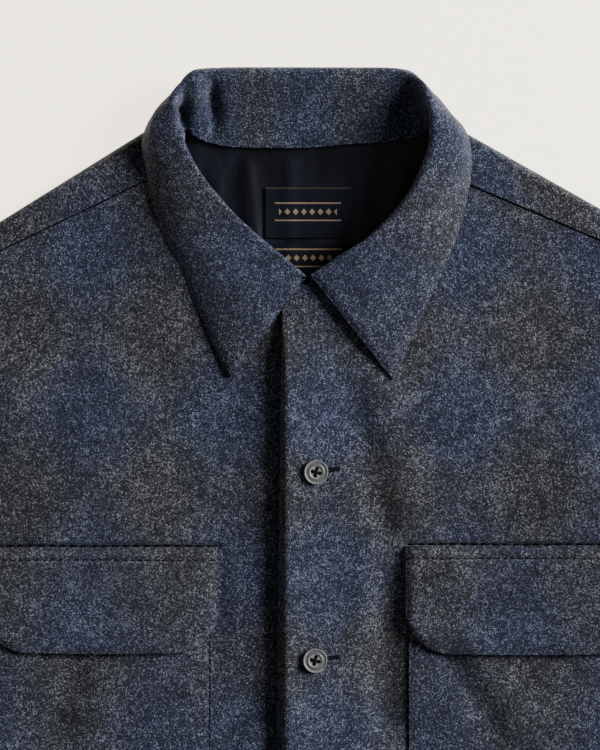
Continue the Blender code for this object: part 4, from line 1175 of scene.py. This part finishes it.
def cuff_frame(side):
    """Corner at the top fold, direction along the cuff, direction across it and its width."""
    last = sleeve_sections(side)[-1]
    top = Vector((last[0], last[1]))
    under = Vector((last[2], last[3]))
    across = (under - top).normalized()
    forward = Vector((-across.y, across.x))
    corner = top + across * CUFF_INSET + forward * SEAM
    return corner, forward, across, (under - top).length - 2 * CUFF_INSET


def cuff_height(share):
    """Middle of a cuff's upper cloth across its width."""
    return CUFF_WALL / 2 + 2 * CUFF_FOLD_RADIUS + CUFF_PUFF * np.sin(math.pi * share) ** 0.7


def sew_cuff(side):
    """Cuff, a band of double cloth that closes the sleeve."""
    corner, forward, across, width = cuff_frame(side)
    rings = []
    for share in np.linspace(0, 1, 24):
        top = corner + forward * CUFF_LENGTH * share
        under = top + across * width
        ring = tube_ring(top, under, (0.5, 0.0), CUFF_FOLD_RADIUS, CUFF_FOLD_RADIUS, CUFF_WALL / 2,
                         cuff_height,
                         40, 20, FOLD_ANGLES)
        ring[:, 0] *= SIGN[side]
        rings.append(ring)
    points = np.array(rings)
    steps = np.linalg.norm(np.diff(points[0], axis=0), axis=-1)
    around = np.concatenate([[0], np.cumsum(steps)])
    along = np.linspace(0, CUFF_LENGTH, 24)
    chart = np.stack(np.broadcast_arrays(along[:, None], around[None, :]), axis=-1)
    piece = sew_grid("cuff_" + side + "_cloth", points, chart, CUFF_WALL, WOOL, closed=True, edge=0.38)
    return lay(piece, "cuff_" + side)


GRIDS = {}
for side in ("right", "left"):
    sew_front(side)
    sew_pocket(side)
    sew_flap(side)
    sew_sleeve(side)
    sew_cuff(side)
sew_back()
sew_yoke()
sew_lining()
for name in LABELS:
    sew_label(name)
sew_collar()


# Small parts, modelled with the operators

def edit_faces(thing, chosen):
    """Enter edit mode with only the faces selected for which chosen(face) is true."""
    choose_only(thing)
    bpy.ops.object.mode_set(mode="EDIT")
    bpy.ops.mesh.select_mode(type="FACE")
    work = bmesh.from_edit_mesh(thing.data)
    for face in work.faces:
        face.select_set(bool(chosen(face)))
    bmesh.update_edit_mesh(thing.data)


def leave_edit():
    """Back to object mode."""
    bpy.ops.object.mode_set(mode="OBJECT")


def settle(thing, name, finish=None):
    """Apply the place of a finished small part and give it its name and finish."""
    choose_only(thing)
    bpy.ops.object.transform_apply(location=True, rotation=True, scale=True)
    thing.name = name
    thing.data.name = name
    if finish:
        thing.data.materials.clear()
        thing.data.materials.append(finish)
    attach(thing, "root")
    return thing


def copy_at(model, place, turn=(0.0, 0.0, 0.0), scale=1.0):
    """Copy of a model with its own mesh, at a place in the part's frame."""
    copy = model.copy()
    copy.data = model.data.copy()
    copy.location = place
    copy.rotation_euler = turn
    copy.scale = (scale, scale, scale)
    bpy.context.scene.collection.objects.link(copy)
    return copy


def join(things):
    """Join several objects into the first."""
    choose_only(things[0])
    for thing in things:
        thing.select_set(True)
    bpy.ops.object.join()
    return things[0]


# Buttons

BUTTON_RING = (3.9, 5.75)
BUTTON_STEPS = [
    (0.55, 0.0),
    (0.30, -0.38),
    (1.25, 0.0),
    (0.30, 0.30),
    (0.50, 0.0),
    (0.70, -0.50),
]


def model_button():
    """Button with a raised rim, a plain groove, a dished middle and four holes."""
    bpy.ops.object.select_all(action="DESELECT")
    bpy.ops.mesh.primitive_cylinder_add(vertices=72, radius=BUTTON_RADIUS * MM, depth=BUTTON_HEIGHT * MM)
    button = bpy.context.active_object
    edit_faces(button, lambda face: face.normal.z > 0.9)
    for inset, rise in BUTTON_STEPS:
        bpy.ops.mesh.inset(thickness=inset * MM)
        if rise:
            bpy.ops.transform.translate(value=(0, 0, rise * MM))
    leave_edit()
    rim = button.modifiers.new("rim", "BEVEL")
    rim.limit_method = "ANGLE"
    rim.angle_limit = math.radians(40)
    rim.width = 0.16 * MM
    rim.segments = 3
    bpy.ops.object.modifier_apply(modifier=rim.name)
    for number in range(4):
        angle = math.radians(BUTTON_TURN + 45 + 90 * number)
        spot = (BUTTON_HOLE_OFFSET * math.cos(angle) * MM, BUTTON_HOLE_OFFSET * math.sin(angle) * MM, 0)
        bpy.ops.mesh.primitive_cylinder_add(vertices=20, radius=BUTTON_HOLE_RADIUS * MM,
                                            depth=3 * BUTTON_HEIGHT * MM, location=spot)
        drill = bpy.context.active_object
        choose_only(button)
        hole = button.modifiers.new("hole", "BOOLEAN")
        hole.operation = "DIFFERENCE"
        hole.solver = "EXACT"
        hole.object = drill
        bpy.ops.object.modifier_apply(modifier=hole.name)
        bpy.data.objects.remove(drill)
    button.data.materials.append(HORN)
    button.data.materials.append(GROOVE_PAINTED_SHADE)
    # Faces of the groove band take the darker finish, which paints the shade in the groove.
    for face in button.data.polygons:
        reach = math.hypot(*face.center[:2]) / MM
        face.material_index = int(BUTTON_RING[0] < reach < BUTTON_RING[1] and face.center.z > 0)
    choose_only(button)
    bpy.ops.object.shade_smooth_by_angle(angle=math.radians(35))
    return button


def model_button_thread():
    """Crossed strands of thread between the four holes."""
    strands = []
    for number in range(2):
        for offset in (-0.42, 0.42):
            bpy.ops.object.select_all(action="DESELECT")
            bpy.ops.mesh.primitive_cylinder_add(vertices=10, radius=0.42 * MM, depth=2.9 * MM,
                                                rotation=(0, math.pi / 2, 0))
            strand = bpy.context.active_object
            bpy.ops.object.transform_apply(rotation=True)
            for end in (-1, 1):
                edit_faces(strand, lambda face: face.normal.x * end > 0.9)
                bpy.ops.mesh.extrude_region_move(
                    TRANSFORM_OT_translate={"value": (end * 0.45 * MM, 0, -0.35 * MM)})
                bpy.ops.mesh.extrude_region_move(
                    TRANSFORM_OT_translate={"value": (end * 0.1 * MM, 0, -1.3 * MM)})
                leave_edit()
            strand.location = (0, offset * MM, (0.30 + 0.34 * number) * MM)
            bpy.ops.object.transform_apply(location=True)
            strand.rotation_euler = (0, 0, math.radians(BUTTON_TURN + 45 + 90 * number))
            bpy.ops.object.transform_apply(rotation=True)
            strands.append(strand)
    cross = join(strands)
    bpy.ops.object.shade_smooth()
    return cross


def sew_buttons():
    """Buttons and their thread in the places of the part's buttons."""
    button = model_button()
    cross = model_button_thread()
    names = ["button_" + str(number + 1) for number in range(BUTTON_COUNT)]
    names += ["cuff_button_left", "cuff_button_right"]
    for name in names:
        low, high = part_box(name)
        middle = (low + high) / 2
        scale = (high.x - low.x) / (2 * BUTTON_RADIUS * MM)
        table = (np.array(middle) - ORIGIN) / MM
        slope = 0.0
        if "cuff" not in name:
            reach = BUTTON_RADIUS * 0.8
            ahead = side_z("left", table[0] + reach, table[1])
            behind = side_z("left", table[0] - reach, table[1])
            slope = 0.8 * math.atan2(float(behind - ahead), 2 * reach)
            spots = side_z("left", table[0] + np.array([-reach, 0, reach]), table[1])
            seat = float(np.mean(spots)) + WALL / 2 + GAP + 0.5
            middle = Vector(in_frame((table[0], table[1], seat + BUTTON_HEIGHT / 2)))
        turn = (0.0, slope, 0.0)
        piece = settle(copy_at(button, middle, turn, scale), name + "_moulded")
        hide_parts(name)
        top = middle + Vector((0, 0, (BUTTON_HEIGHT / 2 - 0.85) * scale * MM))
        settle(copy_at(cross, top, turn, scale), name + "_thread", THREAD)
    bpy.data.objects.remove(button)
    bpy.data.objects.remove(cross)


# Stitches

STITCH_RADIUS = 0.34
STITCH_STEP = 3.0
STITCH_FILL = 0.82
STITCH_BODY = 0.6
STITCH_END = 0.2
STITCH_END_DROP = 0.22
HEM_STITCH_UP = 12.0

# How much larger the stitches of each row are
FLAP_STITCH_SIZE = 1.5
FLAP_SHADE_ROW_SIZE = 2.0
POCKET_SHADE_ROW_SIZE = 1.6
HOLE_STITCH_SIZE = 0.75

# Waver of the stitched line and of the row that paints the crease's shade: height, length of one wave's bend
STITCH_WAVER = (0.25, 17.0)
SHADE_ROW_WAVER = (0.3, 11.0)
# Rows of dark thread that paint crevice shade: above each flap's top, sunk into the front; just outside each
# pocket's edge, raised over the front
FLAP_SHADE_ROW_UP = 0.9
FLAP_SHADE_ROW_DEPTH = 0.75
POCKET_SHADE_ROW_OUT = 0.5
POCKET_SHADE_ROW_STAND = 0.1


def model_stitch():
    """One stitch along X, its ends dipping into the cloth."""
    bpy.ops.object.select_all(action="DESELECT")
    length = STITCH_STEP * STITCH_FILL
    bpy.ops.mesh.primitive_cylinder_add(vertices=8, radius=STITCH_RADIUS * MM,
                                        depth=length * STITCH_BODY * MM,
                                        rotation=(0, math.pi / 2, 0))
    stitch = bpy.context.active_object
    bpy.ops.object.transform_apply(rotation=True)
    for end in (-1, 1):
        edit_faces(stitch, lambda face: face.normal.x * end > 0.9)
        step = (end * length * STITCH_END * MM, 0, -STITCH_END_DROP * MM)
        bpy.ops.mesh.extrude_region_move(TRANSFORM_OT_translate={"value": step})
        bpy.ops.transform.resize(value=(1, 0.5, 0.5))
        leave_edit()
    bpy.ops.object.shade_smooth()
    return stitch


def sew_row(name, model, path, scale=1.0):
    """Row of stitches along a path of table points."""
    path = np.asarray(path, float)
    length = run_length(path[:, None], 0)[:, 0]
    count = max(2, int(length[-1] / STITCH_STEP / scale))
    places = np.linspace(0, length[-1], count + 1)
    spots = np.stack([np.interp(places, length, path[:, axis]) for axis in range(3)], -1)
    stitches = []
    for start, end in zip(spots[:-1], spots[1:]):
        run = end - start
        turn = (0.0, -math.asin(run[2] / np.linalg.norm(run)), math.atan2(run[1], run[0]))
        stitches.append(copy_at(model, in_frame((start + end) / 2), turn, scale))
    return settle(join(stitches), name, THREAD)


def sewn_line(side, x, y, stand):
    """Table points of a line over the front of one side, X is positive on both sides."""
    x, y, stand = np.broadcast_arrays(x, y, stand)
    x = SIGN[side] * x
    return np.stack([x, y, side_z(side, x, y) + stand], axis=-1)


def pocket_outline(side):
    """Line just outside a pocket's sides and lower edge, where the row of painted crevice shade runs."""
    start, end = POCKET_X[side]
    high, low = POCKET_Y
    y = np.linspace(high, low + POCKET_CORNER, 60)
    turn = np.linspace(0, math.pi / 2, 9)
    reach = POCKET_CORNER + POCKET_SHADE_ROW_OUT
    left_x = start + POCKET_CORNER - reach * np.cos(turn)
    right_x = end - POCKET_CORNER + reach * np.cos(turn[::-1])
    round_y = low + POCKET_CORNER - reach * np.sin(turn)
    start_x, end_x = np.full(60, start - POCKET_SHADE_ROW_OUT), np.full(60, end + POCKET_SHADE_ROW_OUT)
    return (np.concatenate([start_x, left_x, right_x, end_x]),
            np.concatenate([y, round_y, round_y[::-1], y[::-1]]))


def sew_stitching():
    """Stitches of the flaps and the hem, and rows of dark thread round flaps and pockets that paint the shade
    of the crevices there.
    """
    model = model_stitch()
    for side in SIGN:
        start, end = FLAP_X[side]
        top = FLAP_Y[side][0]
        x = np.linspace(start + 0.8, end - 0.8, 60)
        y = top - STITCH_LINE + STITCH_WAVER[0] * np.sin(x / STITCH_WAVER[1])
        stand = flap_stand(side, y) + FLAP_WALL / 2 - 0.08
        sew_row("flap_stitch_" + side, model, sewn_line(side, x, y, stand), FLAP_STITCH_SIZE)
        # Dark thread sunk into the front just above the flap's top: painted shade of the crease between flap
        # and front.
        y = top + FLAP_SHADE_ROW_UP + SHADE_ROW_WAVER[0] * np.sin(x / SHADE_ROW_WAVER[1])
        sew_row("flap_crease_shade_" + side, model, sewn_line(side, x, y, -FLAP_SHADE_ROW_DEPTH), FLAP_SHADE_ROW_SIZE)
        # Dark thread just outside the pocket's edge: painted shade of the crevice between pocket and front.
        x, y = pocket_outline(side)
        stand = WALL / 2 + POCKET_SHADE_ROW_STAND
        sew_row("pocket_edge_shade_" + side, model, sewn_line(side, x, y, stand), POCKET_SHADE_ROW_SIZE)
        y = HEM_Y + HEM_STITCH_UP
        x = np.linspace(float(free_edge_x(side, HEM_Y)) + 2, float(outer_x(side, y)) - 1, 90)
        sew_row("hem_stitch_" + side, model, sewn_line(side, x, y, WALL / 2))
    bpy.data.objects.remove(model)


# Buttonholes beside the buttons: from and to, across from the button's middle
BUTTONHOLE = (7.6, 14.2)
BUTTONHOLE_UP = 1.2
BUTTONHOLE_RISE = 0.1
BUTTONHOLE_STEP = 0.55
BUTTONHOLE_HALF_WIDTH = 0.62
BUTTONHOLE_LEAN = 6.0


def sew_buttonholes():
    """Bars of stitches at the end of each buttonhole that shows beside its button."""
    model = model_stitch()
    for number in range(BUTTON_COUNT):
        middle_y = BUTTON_TOP_Y - BUTTON_SPACING * number + BUTTONHOLE_UP
        bars = []
        for across in np.arange(*BUTTONHOLE, BUTTONHOLE_STEP):
            for lean in (-1, 1):
                x = BUTTON_X + across
                y = middle_y + BUTTONHOLE_RISE * (across - BUTTONHOLE[0]) + lean * BUTTONHOLE_HALF_WIDTH
                z = float(side_z("left", x, y)) + WALL / 2
                turn = (0.0, 0.0, math.radians(90 + lean * BUTTONHOLE_LEAN))
                bars.append(copy_at(model, in_frame((x, y, z)), turn, HOLE_STITCH_SIZE))
        settle(join(bars), "buttonhole_" + str(number + 1), THREAD)
    bpy.data.objects.remove(model)


sew_buttons()
sew_buttonholes()
sew_stitching()


# Loose nap on the edges

NAP_PER_MM = 5.0
NAP_SEED = 7
NAP_LENGTH = (0.5, 1.9)
NAP_HALF_WIDTH = (0.035, 0.055)


def raise_nap(name, edges, per_mm, seed):
    """Short curled fibres along edges, each given as points and outward directions."""
    chance = np.random.default_rng(seed)
    roots, ways = [], []
    for points, outward in edges:
        length = run_length(points[:, None], 0)[:, 0]
        spots = chance.uniform(0, length[-1], int(length[-1] * per_mm))
        roots.append(np.stack([np.interp(spots, length, points[:, axis]) for axis in range(3)], -1))
        ways.append(np.stack([np.interp(spots, length, outward[:, axis]) for axis in range(3)], -1))
    root, way = np.concatenate(roots), np.concatenate(ways)
    count = len(root)
    way = way + chance.normal(0, 0.55, (count, 3)) + np.array([0, 0, 0.25])
    way /= np.linalg.norm(way, axis=-1, keepdims=True)
    bend = chance.normal(0, 0.5, (count, 3))
    long = chance.uniform(*NAP_LENGTH, count)[:, None]
    root = root - way * 0.3 + chance.normal(0, 0.12, (count, 3))
    middle = root + way * long * 0.55
    tip = root + way * long + bend * long * 0.5
    side = np.cross(way, chance.normal(0, 1, (count, 3)))
    side /= np.linalg.norm(side, axis=-1, keepdims=True)
    other = np.cross(way, side)
    width = chance.uniform(*NAP_HALF_WIDTH, count)[:, None]
    corners = [side, -0.5 * side + 0.87 * other, -0.5 * side - 0.87 * other]
    rings = [root + corner * width for corner in corners]
    rings += [middle + corner * width * 0.8 for corner in corners] + [tip]
    points = np.stack(rings, axis=1).reshape(-1, 3)
    pattern = []
    for number in range(3):
        following = (number + 1) % 3
        pattern.append((number, following, following + 3, number + 3))
        pattern.append((number + 3, following + 3, 6))
    faces = [tuple(7 * fibre + corner for corner in face) for fibre in range(count) for face in pattern]
    mesh = bpy.data.meshes.new(name)
    mesh.from_pydata(in_frame(points), [], faces)
    mesh.materials.append(FUZZ)
    mesh.shade_smooth()
    nap = bpy.data.objects.new(name, mesh)
    bpy.context.scene.collection.objects.link(nap)
    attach(nap, "root")
    return nap


def border(points, inner):
    """Edge of a piece with the directions that point away from its inside."""
    outward = points - inner
    return points, outward / np.maximum(np.linalg.norm(outward, axis=-1, keepdims=True), 1e-9)


def nap_edges():
    """Edges that show against the ground or stand over other cloth."""
    collar = GRIDS["collar"]
    roll = sum(PROFILE_STEPS[:2]) + 2
    edges = [
        border(collar[:, -1], collar[:, -5]),
        border(collar[0], collar[5]),
        border(collar[-1], collar[-6]),
        border(collar[:, roll], collar[:, roll] - np.array([0, 0, 1.0])),
        border(GRIDS["front_left"][:, 0], GRIDS["front_left"][:, 4]),
    ]
    for side in SIGN:
        flap = GRIDS["flap_" + side]
        edges.append(border(flap[-1], flap[-4]))
        edges.append(border(flap[:, 0], flap[:, 9]))
        edges.append(border(flap[:, -1], flap[:, -10]))
        x = np.linspace(NECK_X + 12, SHOULDER[side][0], 60)
        crest_z = BACK_Z + (shoulder_top(x) - BACK_Z) / 2
        crest = np.stack([SIGN[side] * x, shoulder_y(side, x), crest_z], axis=-1)
        edges.append(border(crest, crest - np.array([0, 1.0, 0])))
    return edges


raise_nap("loose_nap", nap_edges(), NAP_PER_MM, NAP_SEED)


# Floor, light and camera

def make_floor():
    """Pale cream ground, bright enough to keep the shadows on it faint."""
    bpy.ops.object.select_all(action="DESELECT")
    bpy.ops.mesh.primitive_plane_add(size=8.0, location=(0, 0, -0.0002))
    floor = bpy.context.active_object
    floor.name = "floor"
    ground = Finish("cream ground")
    ground.surface(Base_Color=GROUND_COLOUR, Roughness=0.9, Specular_IOR_Level=0.1)
    ground.surface(Emission_Color=GROUND_GLOW, Emission_Strength=GROUND_GLOW_STRENGTH)
    floor.data.materials.append(ground.material)


def make_lamp(name, direction, distance, size, power):
    """Square soft lamp that points at the shirt's upper half."""
    target = Vector(in_frame((VIEW_MIDDLE[0], VIEW_MIDDLE[1], 0.0)))
    data = bpy.data.lights.new(name, "AREA")
    data.shape = "SQUARE"
    data.size = size
    data.energy = power
    lamp = bpy.data.objects.new(name, data)
    lamp.location = target + Vector(direction).normalized() * distance
    lamp.rotation_euler = (target - lamp.location).to_track_quat("-Z", "Y").to_euler()
    bpy.context.scene.collection.objects.link(lamp)


def make_camera():
    """Camera straight above, framed as the photograph."""
    data = bpy.data.cameras.new("camera")
    data.sensor_width = 36.0
    data.lens = 36.0 * CAMERA_DISTANCE / VIEW_HEIGHT
    data.clip_end = 50.0
    camera = bpy.data.objects.new("camera", data)
    camera.location = in_frame((VIEW_MIDDLE[0], VIEW_MIDDLE[1], CAMERA_LEVEL + CAMERA_DISTANCE))
    bpy.context.scene.collection.objects.link(camera)
    bpy.context.scene.camera = camera


def make_world():
    """Even pale surroundings."""
    world = bpy.data.worlds.new("studio")
    world.use_nodes = True
    background = world.node_tree.nodes["Background"]
    background.inputs["Color"].default_value = (1.0, 0.99, 0.97, 1)
    background.inputs["Strength"].default_value = WORLD_STRENGTH
    bpy.context.scene.world = world


make_floor()
make_lamp("key", KEY_DIRECTION, KEY_DISTANCE, KEY_SIZE, KEY_POWER)
make_camera()
make_world()
